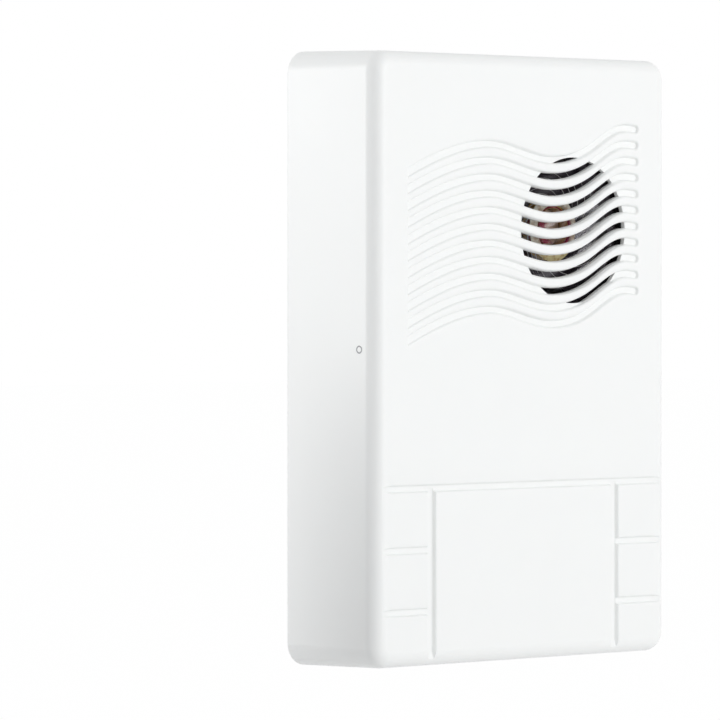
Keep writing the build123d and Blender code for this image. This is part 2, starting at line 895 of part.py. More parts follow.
def terminal_clamps():
    """Metal cages that the bell wires go into, each with a pin through the board."""
    width, depth, height = clamp_size()
    low = board_front + terminal_floor + clamp_clearance
    clamps = []
    for x in terminal_places():
        clamp = block(width, depth, height, x, terminal_y, low)
        wire_z = low + (height - clamp_wire_gap) / 2
        clamp -= block(clamp_wire_gap, depth + 2 * overrun, clamp_wire_gap, x, terminal_y, wire_z)
        clamp -= drum(clamp_screw_radius + pilot_clearance, height, x, terminal_y,
                      wire_z + clamp_wire_gap / 2)
        bottom = board_back - leg_below
        clamp += drum(pin_radius, low - bottom, x, terminal_y, bottom)
        clamps.append(clamp)
    return group(clamps)


def terminal_screws():
    _, _, height = clamp_size()
    low = board_front + terminal_floor + clamp_clearance
    seat = low + height + clamp_screw_lift
    wall = (height - clamp_wire_gap) / 2
    length = clamp_screw_lift + wall + clamp_wire_gap / 3
    return group(
        slotted_screw(clamp_screw_radius, length, clamp_screw_head_radius,
                      clamp_screw_head_height, x, terminal_y, seat)
        for x in terminal_places()
    )


def turned(points):
    """A round piece about the speaker's axis from its outline of radius and level."""
    outline = make_face(Polyline(*[(r, 0, z) for r, z in points], close=True))
    return Pos(speaker_x, speaker_y, 0) * revolve(outline, Axis.Z)


def speaker_basket():
    """Pressed frame: rim, sloping wall with windows, floor and a collar round the yoke."""
    inner_back = basket_back + basket_sheet
    collar_top = inner_back + basket_collar_height
    collar_radius = yoke_outer_radius + basket_collar
    basket = turned([
        (basket_radius, rim_back),
        (basket_radius, rim_front),
        (gasket_inner_radius, rim_front),
        (basket_floor_radius, inner_back),
        (collar_radius, inner_back),
        (collar_radius, collar_top),
        (yoke_outer_radius, collar_top),
        (yoke_outer_radius, basket_back),
        (basket_floor_radius, basket_back),
        (gasket_inner_radius, rim_back),
    ])
    reach = gasket_inner_radius - collar_radius
    window_z = inner_back + basket_window_margin
    height = rim_back - basket_window_margin - window_z
    window = block(reach, basket_window_width, height, collar_radius + reach / 2, 0, window_z)
    for turn in range(0, 360, 90):
        basket -= Pos(speaker_x, speaker_y, 0) * Rot(0, 0, turn) * window
    return basket


def speaker_gasket():
    outer = gasket_inner_radius + gasket_width
    return ring(outer, gasket_inner_radius, gasket_thickness, speaker_x, speaker_y,
                rim_front + film_thickness)


def neck_level():
    return coil_top + former_above + glue_gap


def surround_level():
    return rim_front - surround_drop


def film_ring(curves_at):
    """Turn a film from the lines of its lower face, given by a function of the lift."""
    lower, upper = curves_at(0), curves_at(film_thickness)
    start_side = Line(lower[0] @ 0, upper[0] @ 0)
    end_side = Line(lower[-1] @ 1, upper[-1] @ 1)
    outline = make_face([*lower, *upper, start_side, end_side])
    return Pos(speaker_x, speaker_y, 0) * revolve(outline, Axis.Z)


def speaker_cone():
    """Clear film: a dome over the coil and the cone round it."""

    def curves_at(lift):
        top = (0, 0, neck_level() + dome_height + lift)
        side = (coil_outer_radius / 2, 0, neck_level() + dome_side_share * dome_height + lift)
        neck = (coil_outer_radius, 0, neck_level() + lift)
        edge = (surround_inner_radius - surround_gap, 0, surround_level() + lift)
        return [ThreePointArc(top, side, neck), Line(neck, edge)]

    return film_ring(curves_at)


def speaker_surround():
    """Clear film: the roll that lets the cone move, and the flat edge that is glued to the rim."""

    def curves_at(lift):
        roll_start = (surround_inner_radius, 0, surround_level() + lift)
        roll_x = (surround_inner_radius + gasket_inner_radius) / 2
        roll_middle = (roll_x, 0, (surround_level() + rim_front) / 2 + surround_roll + lift)
        roll_end = (gasket_inner_radius, 0, rim_front + lift)
        edge = (gasket_inner_radius + gasket_width, 0, rim_front + lift)
        return [ThreePointArc(roll_start, roll_middle, roll_end), Line(roll_end, edge)]

    return film_ring(curves_at)


def voice_coil():
    low = coil_top - coil_length
    return ring(coil_outer_radius, former_outer_radius, coil_length, speaker_x, speaker_y, low)


def coil_former():
    low = coil_top - coil_length - former_below
    length = coil_length + former_above + former_below
    return ring(former_outer_radius, former_inner_radius, length, speaker_x, speaker_y, low)


def cone_glue():
    """A bead of cement between the coil and the underside of the cone."""
    low = coil_top + former_above - glue_height
    outer = coil_outer_radius + glue_width
    return turned([
        (coil_outer_radius, low),
        (coil_outer_radius, low + glue_height),
        (outer, low + glue_height),
    ])


def pole_plate():
    return drum(pole_radius, pole_thickness, speaker_x, speaker_y, pole_front - pole_thickness)


def speaker_magnet():
    low = yoke_back + yoke_floor
    return drum(magnet_radius, magnet_thickness, speaker_x, speaker_y, low)


def yoke_cup():
    cup = drum(yoke_outer_radius, pole_front - yoke_back, speaker_x, speaker_y, yoke_back)
    hollow = pole_front - yoke_back - yoke_floor + overrun
    return cup - drum(yoke_inner_radius, hollow, speaker_x, speaker_y, yoke_back + yoke_floor)


def at_tags(part):
    """Turn a part drawn outwards along x to the side of the speaker where the tags are."""
    return Pos(speaker_x, speaker_y, 0) * Rot(0, 0, tag_angle) * part


def tag_board():
    middle = yoke_outer_radius + tag_board_gap + tag_board_depth / 2
    return at_tags(block(tag_board_depth, tag_board_width, tag_board_thickness, middle, 0, tag_front))


def speaker_tags():
    """Two solder tags under the tag board."""
    start = yoke_outer_radius + tag_board_gap
    middle = start + tag_length / 2
    tags = []
    for side in (-1, 1):
        y = side * tag_span / 2
        tag = block(tag_length, tag_width, tag_thickness, middle, y, tag_front - tag_thickness)
        hole_x = start + tag_length - tag_width / 2
        tag -= drum(tag_hole_radius, 3 * tag_thickness, hole_x, y, tag_front - 2 * tag_thickness)
        tags.append(at_tags(tag))
    return group(tags)


def tinsel_leads():
    """Thin leads from the coil through a basket window to the tags."""
    leads = []
    coil_side = coil_outer_radius + tinsel_radius
    wall_middle = (gasket_inner_radius + basket_floor_radius) / 2
    window_level = (rim_back + basket_back) / 2
    tag_x = yoke_outer_radius + tag_board_gap + tag_board_depth + 2 * tinsel_radius
    for side in (-1, 1):
        y = side * tag_span / 2
        points = [
            (coil_side, side * tinsel_radius * 4, coil_top - glue_height),
            ((coil_side + wall_middle) / 2, y / 2, window_level + basket_sheet),
            (wall_middle + basket_sheet, y, window_level),
            (wall_middle + 2 * basket_sheet, y, basket_back),
            (tag_x, y, tag_front + tinsel_radius),
        ]
        leads.append(at_tags(tube(points, tinsel_radius)))
    return group(leads)


def speaker_screw_set():
    length = speaker_washer_thickness + basket_sheet + speaker_screw_length - pilot_clearance
    seat = rim_front + speaker_washer_thickness
    return group(
        slotted_screw(speaker_screw_radius, length, speaker_screw_head_radius,
                      speaker_screw_head_height, x, y, seat)
        for x, y, _ in speaker_post_places()
    )


def speaker_washers():
    return group(
        ring(speaker_washer_radius, speaker_washer_hole_radius, speaker_washer_thickness,
             x, y, rim_front)
        for x, y, _ in speaker_post_places()
    )


def bend_radii(points):
    """The largest bend at each corner of a route that its two runs allow."""
    corners = [Vector(*p) for p in points]
    radii = []
    for before, corner, after in zip(corners, corners[1:], corners[2:]):
        into = corner - before
        out = after - corner
        turn = radians(into.get_angle(out))
        radii.append(0.45 * min(into.length, out.length) / tan(turn / 2))
    return radii


def tube(points, radius):
    """A round tube along straight runs joined by bends."""
    path = FilletPolyline(*points, radius=bend_radii(points))
    section = Plane(origin=path @ 0, z_dir=path % 0) * Circle(radius)
    return sweep(section, path=path)


# Routes of the leads, from the board
board_lead_level = board_front + lead_radius + solder_drop_gap
tab_lead_level = plate_thickness + contact_seat + contact_height + tab_height / 2
tab_lead_x = -bay_length / 2
tag_lead_x = speaker_x - yoke_outer_radius - tag_board_gap - tag_length + tag_width
tag_lead_level = tag_front - tag_thickness - lead_radius

negative_route = [
    (-16.0, 13.0, board_lead_level),
    (-16.0, 6.5, board_lead_level),
    (-18.6, -4.0, 8.2),
    (-25.6, -15.6, 6.8),
    (-32.2, -23.6, 9.0),
    (-35.6, -28.6, 12.2),
    (-35.8, -33.0, 14.6),
    (-33.0, -35.75, tab_lead_level),
    (tab_lead_x, -35.75, tab_lead_level),
]
positive_route = [
    (-19.0, 13.0, board_lead_level),
    (-19.0, 6.0, board_lead_level),
    (-21.8, -4.5, 7.6),
    (-28.8, -15.5, 5.9),
    (-35.0, -26.5, 6.3),
    (-37.6, -38.5, 9.4),
    (-36.8, -46.8, 13.6),
    (-33.6, -51.25, tab_lead_level),
    (tab_lead_x, -51.25, tab_lead_level),
]
speaker_red_route = [
    (-11.0, 31.0, board_lead_level),
    (-7.6, 31.0, board_lead_level),
    (-3.6, 32.0, 9.0),
    (-0.2, 32.06, tag_lead_level),
    (tag_lead_x, 32.06, tag_lead_level),
]
speaker_black_route = [
    (-11.0, 27.0, board_lead_level),
    (-7.2, 27.0, board_lead_level),
    (-3.4, 25.9, 8.8),
    (-0.4, 26.06, tag_lead_level),
    (tag_lead_x, 26.06, tag_lead_level),
]


def lead_solder():
    """Drops of solder where the leads meet the board and the speaker's tags."""
    drops = []
    for route in (negative_route, positive_route):
        x, y, _ = route[0]
        drops.append(drum(solder_drop_radius, solder_drop_height, x,
                          y + solder_drop_radius + solder_drop_gap, board_front))
    for route in (speaker_red_route, speaker_black_route):
        x, y, _ = route[0]
        drops.append(drum(solder_drop_radius, solder_drop_height,
                          x - solder_drop_radius - solder_drop_gap, y, board_front))
        x, y, _ = route[-1]
        drops.append(drum(solder_drop_radius, solder_drop_height,
                          x + solder_drop_radius + solder_drop_gap, y,
                          tag_front - tag_thickness - solder_drop_height))
    return group(drops)


nodes = {
    "front_cover": front_cover,
    "base_plate": base_plate,
    "cable_grommet": cable_grommet,
    "cell_cans": cell_cans,
    "cell_jackets": cell_jackets,
    "cell_washers": cell_washers,
    "battery_springs": battery_springs,
    "negative_tab": negative_tab,
    "positive_tab": positive_tab,
    "series_contact": series_contact,
    "circuit_board": circuit_board,
    "board_screws": board_screws,
    "melody_chip": melody_chip,
    "electrolytic_cans": electrolytic_cans,
    "disc_capacitors": disc_capacitors,
    "transistor": transistor,
    "resistors": resistors,
    "diode": diode,
    "component_legs": component_legs,
    "solder_joints": solder_joints,
    "terminal_block": terminal_block,
    "terminal_clamps": terminal_clamps,
    "terminal_screws": terminal_screws,
    "speaker_basket": speaker_basket,
    "speaker_gasket": speaker_gasket,
    "speaker_cone": speaker_cone,
    "speaker_surround": speaker_surround,
    "voice_coil": voice_coil,
    "coil_former": coil_former,
    "cone_glue": cone_glue,
    "pole_plate": pole_plate,
    "speaker_magnet": speaker_magnet,
    "yoke_cup": yoke_cup,
    "tag_board": tag_board,
    "speaker_tags": speaker_tags,
    "tinsel_leads": tinsel_leads,
    "speaker_screws": speaker_screw_set,
    "speaker_washers": speaker_washers,
    "battery_lead_black": lambda: tube(negative_route, lead_radius),
    "battery_lead_red": lambda: tube(positive_route, lead_radius),
    "speaker_lead_red": lambda: tube(speaker_red_route, lead_radius),
    "speaker_lead_black": lambda: tube(speaker_black_route, lead_radius),
    "lead_solder": lead_solder,
}

stand_up = Location((0, 0, 0), (90, 0, 0))
for name, make in nodes.items():
    export_step(stand_up * make(), f"parts/{name}.step")

print("least gap between the spring's turns", round(spring_gap(), 3))
for name, route in (
    ("battery black", negative_route),
    ("battery red", positive_route),
    ("speaker red", speaker_red_route),
    ("speaker black", speaker_black_route),
):
    print(name, "bend radii", [round(r, 1) for r in bend_radii(route)])
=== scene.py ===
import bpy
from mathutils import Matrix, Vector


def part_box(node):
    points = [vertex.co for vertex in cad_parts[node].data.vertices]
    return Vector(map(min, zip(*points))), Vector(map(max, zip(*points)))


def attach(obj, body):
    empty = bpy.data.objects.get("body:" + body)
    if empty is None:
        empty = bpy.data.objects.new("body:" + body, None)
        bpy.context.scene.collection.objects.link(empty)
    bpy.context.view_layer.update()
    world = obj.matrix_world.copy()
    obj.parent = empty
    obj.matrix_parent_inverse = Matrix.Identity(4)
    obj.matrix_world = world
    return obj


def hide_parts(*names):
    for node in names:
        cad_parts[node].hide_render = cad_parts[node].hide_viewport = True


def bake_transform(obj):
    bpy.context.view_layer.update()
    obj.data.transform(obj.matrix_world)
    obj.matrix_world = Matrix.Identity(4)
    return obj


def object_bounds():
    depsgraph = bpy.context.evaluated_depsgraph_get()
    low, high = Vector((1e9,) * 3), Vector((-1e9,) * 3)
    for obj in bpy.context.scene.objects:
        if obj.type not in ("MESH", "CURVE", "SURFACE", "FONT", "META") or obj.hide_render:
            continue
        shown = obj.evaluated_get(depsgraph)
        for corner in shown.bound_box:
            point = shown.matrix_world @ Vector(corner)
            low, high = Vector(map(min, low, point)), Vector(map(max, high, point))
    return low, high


bl_info = {
    "name": "Wall chime box",
    "version": (1, 0, 0),
    "blender": (4, 5, 0),
    "location": "3D View > Sidebar > Chime",
    "description": "Dresses the packed chime box: cover, speaker, cells, circuit board and studio",
    "category": "Object",
}

import random
from math import atan2, cos, degrees, pi, radians, sin, tan

import bmesh
import bpy
import numpy as np
from bpy.props import FloatProperty, FloatVectorProperty, IntProperty, PointerProperty
from mathutils import Matrix, Vector
from mathutils.geometry import delaunay_2d_cdt

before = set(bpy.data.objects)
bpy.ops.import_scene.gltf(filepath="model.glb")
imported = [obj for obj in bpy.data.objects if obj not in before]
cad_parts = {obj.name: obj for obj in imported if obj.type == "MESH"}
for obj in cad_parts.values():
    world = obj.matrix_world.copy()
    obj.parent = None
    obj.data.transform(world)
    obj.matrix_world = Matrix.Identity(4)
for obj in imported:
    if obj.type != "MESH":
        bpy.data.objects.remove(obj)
cad_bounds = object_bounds()

MM = 0.001
WELD = 0.002 * MM  # corners of a mesh closer than this are one corner
STAND_UP = Matrix.Rotation(pi / 2, 4, "X")  # from a drawing on the wall to the frame
LAY_FLAT = STAND_UP.inverted()


def wall_box(node):
    """A node's box with x across the wall, y up it and z out from it."""
    corners = [LAY_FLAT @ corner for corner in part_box(node)]
    return [Vector(map(pick, *corners)) for pick in (min, max)]


coil_low, coil_high = wall_box("voice_coil")
board_low, board_high = wall_box("circuit_board")
cans_low, cans_high = wall_box("cell_cans")
speaker_at = (coil_low + coil_high) / 2
cells_at = (cans_low + cans_high) / 2
coil_radius = (coil_high.x - coil_low.x) / 2
can_radius = (cans_high.z - cans_low.z) / 2
film_edge_level = wall_box("speaker_surround")[0].z


def linear(colour):
    """An sRGB hex colour as linear values with full alpha; linear values stay as they are."""
    if not isinstance(colour, str):
        return tuple(colour)
    values = [int(colour[i:i + 2], 16) / 255 for i in (1, 3, 5)]
    return (*[v / 12.92 if v <= 0.04045 else ((v + 0.055) / 1.055) ** 2.4 for v in values], 1.0)


def number(name, default, about, subtype="NONE", unit="NONE", **limits):
    """A number that a user can set."""
    return FloatProperty(name=name, description=about, default=default, subtype=subtype,
                         unit=unit, **limits)


def length(name, millimetres, about):
    """A length that a user can set."""
    return number(name, millimetres * MM, about, "DISTANCE", "LENGTH", min=0, precision=5)


def angle(name, in_degrees, about):
    """An angle that a user can set."""
    return number(name, radians(in_degrees), about, "ANGLE", "ROTATION")


def paint(name, hex_colour, about):
    """A colour that a user can set."""
    return FloatVectorProperty(name=name, description=about, default=linear(hex_colour), size=4,
                               min=0, max=1, subtype="COLOR")


class ChimeCaseSizes(bpy.types.PropertyGroup):
    """Sizes of the moulded cover."""

    front_width: length("Front width", 91.1, "Across the front face")
    front_height: length("Front height", 135, "Up the front face")
    depth: length("Depth", wall_box("front_cover")[1].z / MM, "Wall to front face")
    draft: angle("Draft", 1.24, "Angle that each side opens towards the wall")
    corner_radius: length("Corner radius", 4.4, "Outside corners seen from the front")
    edge_radius: length("Edge radius", 3.4, "Rounding between the front and the sides")
    wall: length("Wall", 2.0, "Thickness of the sides")
    front_wall: length("Front wall", 2.1, "Thickness of the front")
    back_lip: length("Back lip", 0.35, "Rounding of the edge that lies on the wall")
    numeral_size: length("Numeral height", 1.76, "Height of the small printed figure")


class ChimeGrilleSizes(bpy.types.PropertyGroup):
    """Sizes of the wave grille and the panel relief."""

    count: IntProperty(name="Grooves", description="Number of grooves", default=11, min=1)
    pitch: length("Pitch", 3.68, "Groove to groove, up the front")
    span: length("Span", 70.95, "Left to right ends of a groove")
    rise: length("Rise", 12.15, "Left end of a groove to its highest point")
    left: length("Left margin", 35.75, "Left ends from the centre")
    bottom: length("Bottom", 3.0, "Left end of the lowest groove above the centre")
    groove_width: length("Groove width", 1.75, "Widest width of a groove")
    groove_depth: length("Groove depth", 1.05, "Depth of a groove over the speaker")
    rib_radius: length("Rib rounding", 0.62, "Rounded shoulder of a rib, along the front")
    opening_radius: length("Opening radius", 16.45, "Round part where grooves run through")
    opening_x: length("Opening centre across", 16.1, "From the middle of the front")
    opening_y: length("Opening centre up", 28.6, "From the middle of the front")
    slot_taper: length("Slot taper", 0.18, "How far a groove's wall leans in at its floor")
    channel_depth: length("Channel depth", 0.8, "Depth of the panel relief")
    channel_radius: length("Channel rounding", 0.45, "Rounded shoulder of a channel")


class ChimeSpeakerSizes(bpy.types.PropertyGroup):
    """Sizes of the speaker's drawn film and winding."""

    film: length("Film", 0.15, "Thickness of the clear film")
    dome_height: length("Dome height", 1.7, "Height of the centre dome")
    neck_level: length("Neck level", coil_high.z / MM + 0.32, "Level of the film over the coil")
    film_radius: length("Film radius", 13.75, "Outer edge of the cone's film")
    wire: length("Wire", 0.17, "Thickness of the winding wire")
    creases: IntProperty(name="Creases", description="Swirled creases in the film", default=17)


class ChimeFinishes(bpy.types.PropertyGroup):
    """Colours that a user would change."""

    cover: paint("Cover", "#f7f8f7", "White ABS of the cover")
    plate: paint("Base plate", "#efefec", "White ABS of the base plate")
    numeral: paint("Numeral", "#a4a4a7", "Grey ink of the small figure")
    jacket: paint("Cell jacket", "#1c2f4a", "Shrink sleeve of the cells")
    jacket_band: paint("Cell band", "#b98b3e", "Band at the nub end of the cells")
    coil: paint("Winding", "#b3142a", "Enamel of the winding")
    yoke: paint("Yoke", "#d9b34f", "Yellow zinc of the yoke")
    board: paint("Board", "#b9854a", "Paper laminate of the circuit board")


class ChimeStageSizes(bpy.types.PropertyGroup):
    """Camera, lamps and floor."""

    focal: number("Focal length", 262.65, "Of the camera, in millimetres", "DISTANCE_CAMERA")
    camera_at: FloatVectorProperty(name="Camera", description="Place of the camera", size=3,
                                   default=(-0.82009, -0.86897, 0.01751), subtype="TRANSLATION",
                                   unit="LENGTH")
    turn: angle("Turn", 42.488, "Camera's turn to the right of straight ahead")
    tilt: angle("Tilt", 0.8775, "Camera's tilt below level")
    floor_level: number("Floor level", -0.16, "Height of the floor", "DISTANCE", "LENGTH")
    right_lamp: number("Right lamp", 4.1, "Power of the lamp before the front", "POWER", "POWER")
    left_lamp: number("Left lamp", 0.905, "Power of the lamp before the side", "POWER", "POWER")
    fill: number("Fill", 0.66, "Strength of the even light from all round", min=0)


def add(tree, kind, inputs=None, **settings):
    """Add a node with its settings; an input gets a value, a socket or a node's first output."""
    item = tree.nodes.new(kind)
    for name, value in settings.items():
        setattr(item, name, value)
    for name, value in (inputs or {}).items():
        if isinstance(value, bpy.types.Node):
            value = value.outputs[0]
        if isinstance(value, bpy.types.NodeSocket):
            tree.links.new(value, item.inputs[name])
        else:
            item.inputs[name].default_value = value
    return item


def new_material(name):
    """A new material and its empty tree."""
    material = bpy.data.materials.new(name)
    material.use_nodes = True
    material.node_tree.nodes.clear()
    return material, material.node_tree


def ended(material, shader):
    """A material whose tree ends in a shader."""
    add(material.node_tree, "ShaderNodeOutputMaterial", {"Surface": shader})
    return material


def principled(material, inputs, height=None, depth=0.0, strength=0.5):
    """End a material in a Principled shader, bumped by a height if there is one."""
    tree = material.node_tree
    if height:
        inputs["Normal"] = add(tree, "ShaderNodeBump", {
            "Height": height, "Distance": depth, "Strength": strength})
    return ended(material, add(tree, "ShaderNodeBsdfPrincipled", inputs))


def in_grains(tree, grain, stretch=(1, 1, 1)):
    """Object coordinates counted in grains."""
    place = add(tree, "ShaderNodeTexCoord").outputs["Object"]
    return add(tree, "ShaderNodeMapping", {"Vector": place, "Scale": [s / grain for s in stretch]})


def object_noise(tree, grain, detail=2.0, roughness=0.5, stretch=(1, 1, 1)):
    """Noise on Object coordinates whose features are about one grain wide."""
    return add(tree, "ShaderNodeTexNoise", {
        "Vector": in_grains(tree, grain, stretch), "Scale": 1.0, "Detail": detail,
        "Roughness": roughness})


def ramp(tree, fac, *stops):
    """A colour ramp through stops of place and colour."""
    item = add(tree, "ShaderNodeValToRGB", {"Fac": fac})
    steps = item.color_ramp.elements
    while len(steps) < len(stops):
        steps.new(0.5)
    for step, (place, colour) in zip(steps, stops):
        step.position = place
        step.color = linear(colour)
    return item


def chained(tree, operation, value, *others):
    """One Math operation over several values in turn."""
    for other in others:
        value = add(tree, "ShaderNodeMath", {0: value, 1: other}, operation=operation)
    return value


def shade(colour, share):
    """A colour made darker or lighter by a share."""
    return (*[min(1.0, max(0.0, c * (1 + share))) for c in linear(colour)[:3]], 1.0)


def coating(name, tones, cloud, inputs, places=(0.3, 0.7), skin=None, rough=None, relief=0.0,
            strength=0.6):
    """A surface in two tones that cloud into each other. A finer skin bumps it and may also
    spread its roughness."""
    material, tree = new_material(name)
    inputs["Base Color"] = ramp(tree, object_noise(tree, *cloud), *zip(places, tones))
    fine = object_noise(tree, *skin) if skin else None
    if rough:
        inputs["Roughness"] = add(tree, "ShaderNodeMapRange", {
            "Value": fine, "To Min": rough[0], "To Max": rough[1]})
    return principled(material, inputs, fine, relief, strength)


def plated_metal(name, colour, rough, spread, grain=0.6, bare=1.0):
    """Thin plating over pressed or drawn metal: bright, with clouds where it took unevenly
    and fine drawing lines that break the reflections up."""
    return coating(name, (shade(colour, -spread), shade(colour, spread)), (3.5 * MM, 2.0),
                   {"Metallic": bare}, skin=(grain * MM, 3.0, 0.7),
                   rough=(rough * 0.75, rough * 1.3), relief=0.02 * MM, strength=0.4)


def dull_plastic(name, colour, rough, grain=0.35, relief=0.02):
    """Moulded or dipped plastic: one colour through its thickness, clouded a little by
    flow and dust, with the fine skin of its mould or of a dip that has dried."""
    return coating(name, (shade(colour, -0.08), shade(colour, 0.08)), (4 * MM, 3.0),
                   {"IOR": 1.5}, skin=(grain * MM, 3.0),
                   rough=(rough * 0.85, min(1.0, rough * 1.15)), relief=relief * MM)


def white_abs(name, colour, grain, relief):
    """Injection-moulded ABS with a fine spark-eroded skin: an even pale satin that never
    looks like paper, with a faint mottle where the melt cooled unevenly."""
    material, tree = new_material(name)
    mottle = object_noise(tree, 14 * MM, 3.0)
    return principled(material, {
        "Base Color": ramp(tree, mottle, (0.3, shade(colour, -0.006)), (0.7, colour)),
        "Roughness": add(tree, "ShaderNodeMapRange", {
            "Value": mottle, "To Min": 0.38, "To Max": 0.43}),
        "IOR": 1.53, "Subsurface Weight": 0.04, "Subsurface Scale": 0.4 * MM,
        "Subsurface Radius": (1.0, 0.9, 0.8),
    }, object_noise(tree, grain * MM, 4.0, 0.6), relief * MM)


def laminate_board(colour):
    """Pressed phenolic paper: tan with short pale fibres, and the shadow of the copper
    tracks on the far side showing through as darker bands."""
    material, tree = new_material("phenolic_paper_laminate")
    fibre = object_noise(tree, 0.5 * MM, 4.0, 0.7, (0.35, 1, 1))
    track = add(tree, "ShaderNodeTexVoronoi", {"Vector": in_grains(tree, 2.6 * MM), "Scale": 1.0},
                feature="DISTANCE_TO_EDGE", distance="MANHATTAN")
    tint = add(tree, "ShaderNodeMix", {
        0: 1.0, 6: ramp(tree, fibre, (0.3, shade(colour, -0.16)), (0.72, shade(colour, 0.14))),
        7: ramp(tree, track, (0.05, (1, 1, 1, 1)), (0.12, (0.8, 0.8, 0.78, 1))),
    }, data_type="RGBA", blend_type="MULTIPLY").outputs[2]
    return principled(material, {"Base Color": tint, "Roughness": 0.48, "IOR": 1.55},
                      fibre, 0.02 * MM, 0.4)


def from_speaker_axis(tree):
    """Distance from the speaker's axis and height above it, both in metres."""
    place = add(tree, "ShaderNodeTexCoord").outputs["Object"]
    offset = add(tree, "ShaderNodeVectorMath", {0: place, 1: (speaker_at.x, 0, speaker_at.y)},
                 operation="SUBTRACT")
    flat = add(tree, "ShaderNodeVectorMath", {0: offset, 1: (1, 0, 1)}, operation="MULTIPLY")
    radius = add(tree, "ShaderNodeVectorMath", {0: flat}, operation="LENGTH")
    return (radius.outputs["Value"],
            add(tree, "ShaderNodeSeparateXYZ", {0: offset}).outputs["Z"])


def clear_film():
    """Drawn polyester film: colourless and glossy, so that mostly its glints show. Red coil
    lacquer has crept up the rim of the dome and tints it in patches."""
    material, tree = new_material("drawn_clear_film")
    normal = add(tree, "ShaderNodeBump", {
        "Height": object_noise(tree, 1.6 * MM), "Distance": 0.05 * MM, "Strength": 0.6})
    gloss = add(tree, "ShaderNodeBsdfGlossy", {
        "Color": linear("#fbfbff"), "Roughness": 0.1, "Normal": normal})
    see_through = add(tree, "ShaderNodeBsdfTransparent", {"Color": linear("#fbf9fc")})
    lacquer = add(tree, "ShaderNodeBsdfPrincipled", {
        "Base Color": linear("#b83a5c"), "Roughness": 0.25, "IOR": 1.5, "Normal": normal})
    radius, up = from_speaker_axis(tree)
    bare, coated = (0, 0, 0, 1), (1, 1, 1, 1)
    in_centimetres = chained(tree, "MULTIPLY", radius, 100.0)
    ring = ramp(tree, in_centimetres, (0.34, bare), (0.42, coated), (0.5, coated), (0.53, bare))
    beside = add(tree, "ShaderNodeMath", {0: up, 1: 0.0, 2: 3.4 * MM}, operation="COMPARE")
    patch = add(tree, "ShaderNodeMapRange", {
        "Value": object_noise(tree, 1.1 * MM), "To Min": 0.1, "To Max": 1.2})
    body = add(tree, "ShaderNodeMixShader", {
        0: chained(tree, "MULTIPLY", ring, patch, beside), 1: see_through, 2: lacquer})
    rim = add(tree, "ShaderNodeLayerWeight", {"Blend": 0.2, "Normal": normal}).outputs["Facing"]
    glint = add(tree, "ShaderNodeMapRange", {"Value": rim, "To Min": 0.018, "To Max": 0.13})
    return ended(material, add(tree, "ShaderNodeMixShader", {0: glint, 1: body, 2: gloss}))


def crease_film():
    """The same film where it is folded sharp, with a white colour painted along each fold: a
    painted highlight that stands for the glints the folds catch.
    """
    material, tree = new_material("creased_film_painted_glints")
    # White matt colour on the folds: painted glints.
    white = add(tree, "ShaderNodeBsdfPrincipled", {
        "Base Color": linear("#fbfafc"), "Roughness": 0.25, "IOR": 1.5})
    patch = add(tree, "ShaderNodeMapRange", {
        "Value": object_noise(tree, 1.2 * MM), "To Min": 0.7, "To Max": 1.3})
    return ended(material, add(tree, "ShaderNodeMixShader", {
        0: patch, 1: add(tree, "ShaderNodeBsdfTransparent"), 2: white}))


def dried_cement():
    """Hand-laid contact cement: cream, browned in streaks, and golden and lighter towards the
    bottom of the bead.
    """
    material, tree = new_material("dried_contact_cement")
    # Share that grows towards the bottom, where the bead turns golden and lighter.
    lower_share = add(tree, "ShaderNodeMapRange", {
        "Value": from_speaker_axis(tree)[1], "From Min": -3.6 * MM, "From Max": -5.2 * MM})
    streak = object_noise(tree, 1.3 * MM, 3.0)
    tint = add(tree, "ShaderNodeMix", {
        0: lower_share, 6: ramp(tree, streak, (0.35, "#cbb79e"), (0.55, "#f7f1e2")),
        7: ramp(tree, streak, (0.4, "#dcbb7c"), (0.58, "#fff0b8")),
    }, data_type="RGBA").outputs[2]
    return principled(material, {"Base Color": tint, "Roughness": 0.3, "IOR": 1.5},
                      streak, 0.06 * MM, 0.6)


def banded_sleeve(name, axis, start, stop, body, band, rough):
    """A printed shrink sleeve with a band of another colour between two places on one axis."""
    material, tree = new_material(name)
    place = add(tree, "ShaderNodeTexCoord").outputs["Object"]
    along = add(tree, "ShaderNodeSeparateXYZ", {0: place}).outputs[axis]
    tint = add(tree, "ShaderNodeMix", {
        0: chained(tree, "MULTIPLY", chained(tree, "GREATER_THAN", along, start),
                   chained(tree, "LESS_THAN", along, stop)),
        6: ramp(tree, object_noise(tree, 5 * MM), (0.3, shade(body, -0.1)),
                (0.7, shade(body, 0.1))),
        7: linear(band),
    }, data_type="RGBA").outputs[2]
    return principled(material, {"Base Color": tint, "Roughness": rough, "IOR": 1.5},
                      object_noise(tree, 2.2 * MM, 2.0, 0.5, (0.4, 1, 1)), 0.03 * MM)


def banded_resistor(centre):
    """Beige lacquer with painted code bands round the body."""
    material, tree = new_material("painted_resistor_lacquer")
    place = add(tree, "ShaderNodeTexCoord").outputs["Object"]
    along = add(tree, "ShaderNodeSeparateXYZ", {0: place}).outputs["X"]
    cloud = object_noise(tree, 1.5 * MM)
    tint = ramp(tree, cloud, (0.3, "#cdb183"), (0.7, "#dcc49a")).outputs[0]
    half_band = 0.3 * MM
    for x, colour in ((-2.1, "#6b3f1d"), (-1.1, "#1a1a1a"), (-0.1, "#b3272b"), (2.0, "#b08a35")):
        near = add(tree, "ShaderNodeMath", {0: along, 1: centre + x * MM, 2: half_band},
                   operation="COMPARE")
        tint = add(tree, "ShaderNodeMix", {0: near, 6: tint, 7: linear(colour)},
                   data_type="RGBA").outputs[2]
    return principled(material, {"Base Color": tint, "Roughness": 0.35, "IOR": 1.5},
                      cloud, 0.04 * MM)


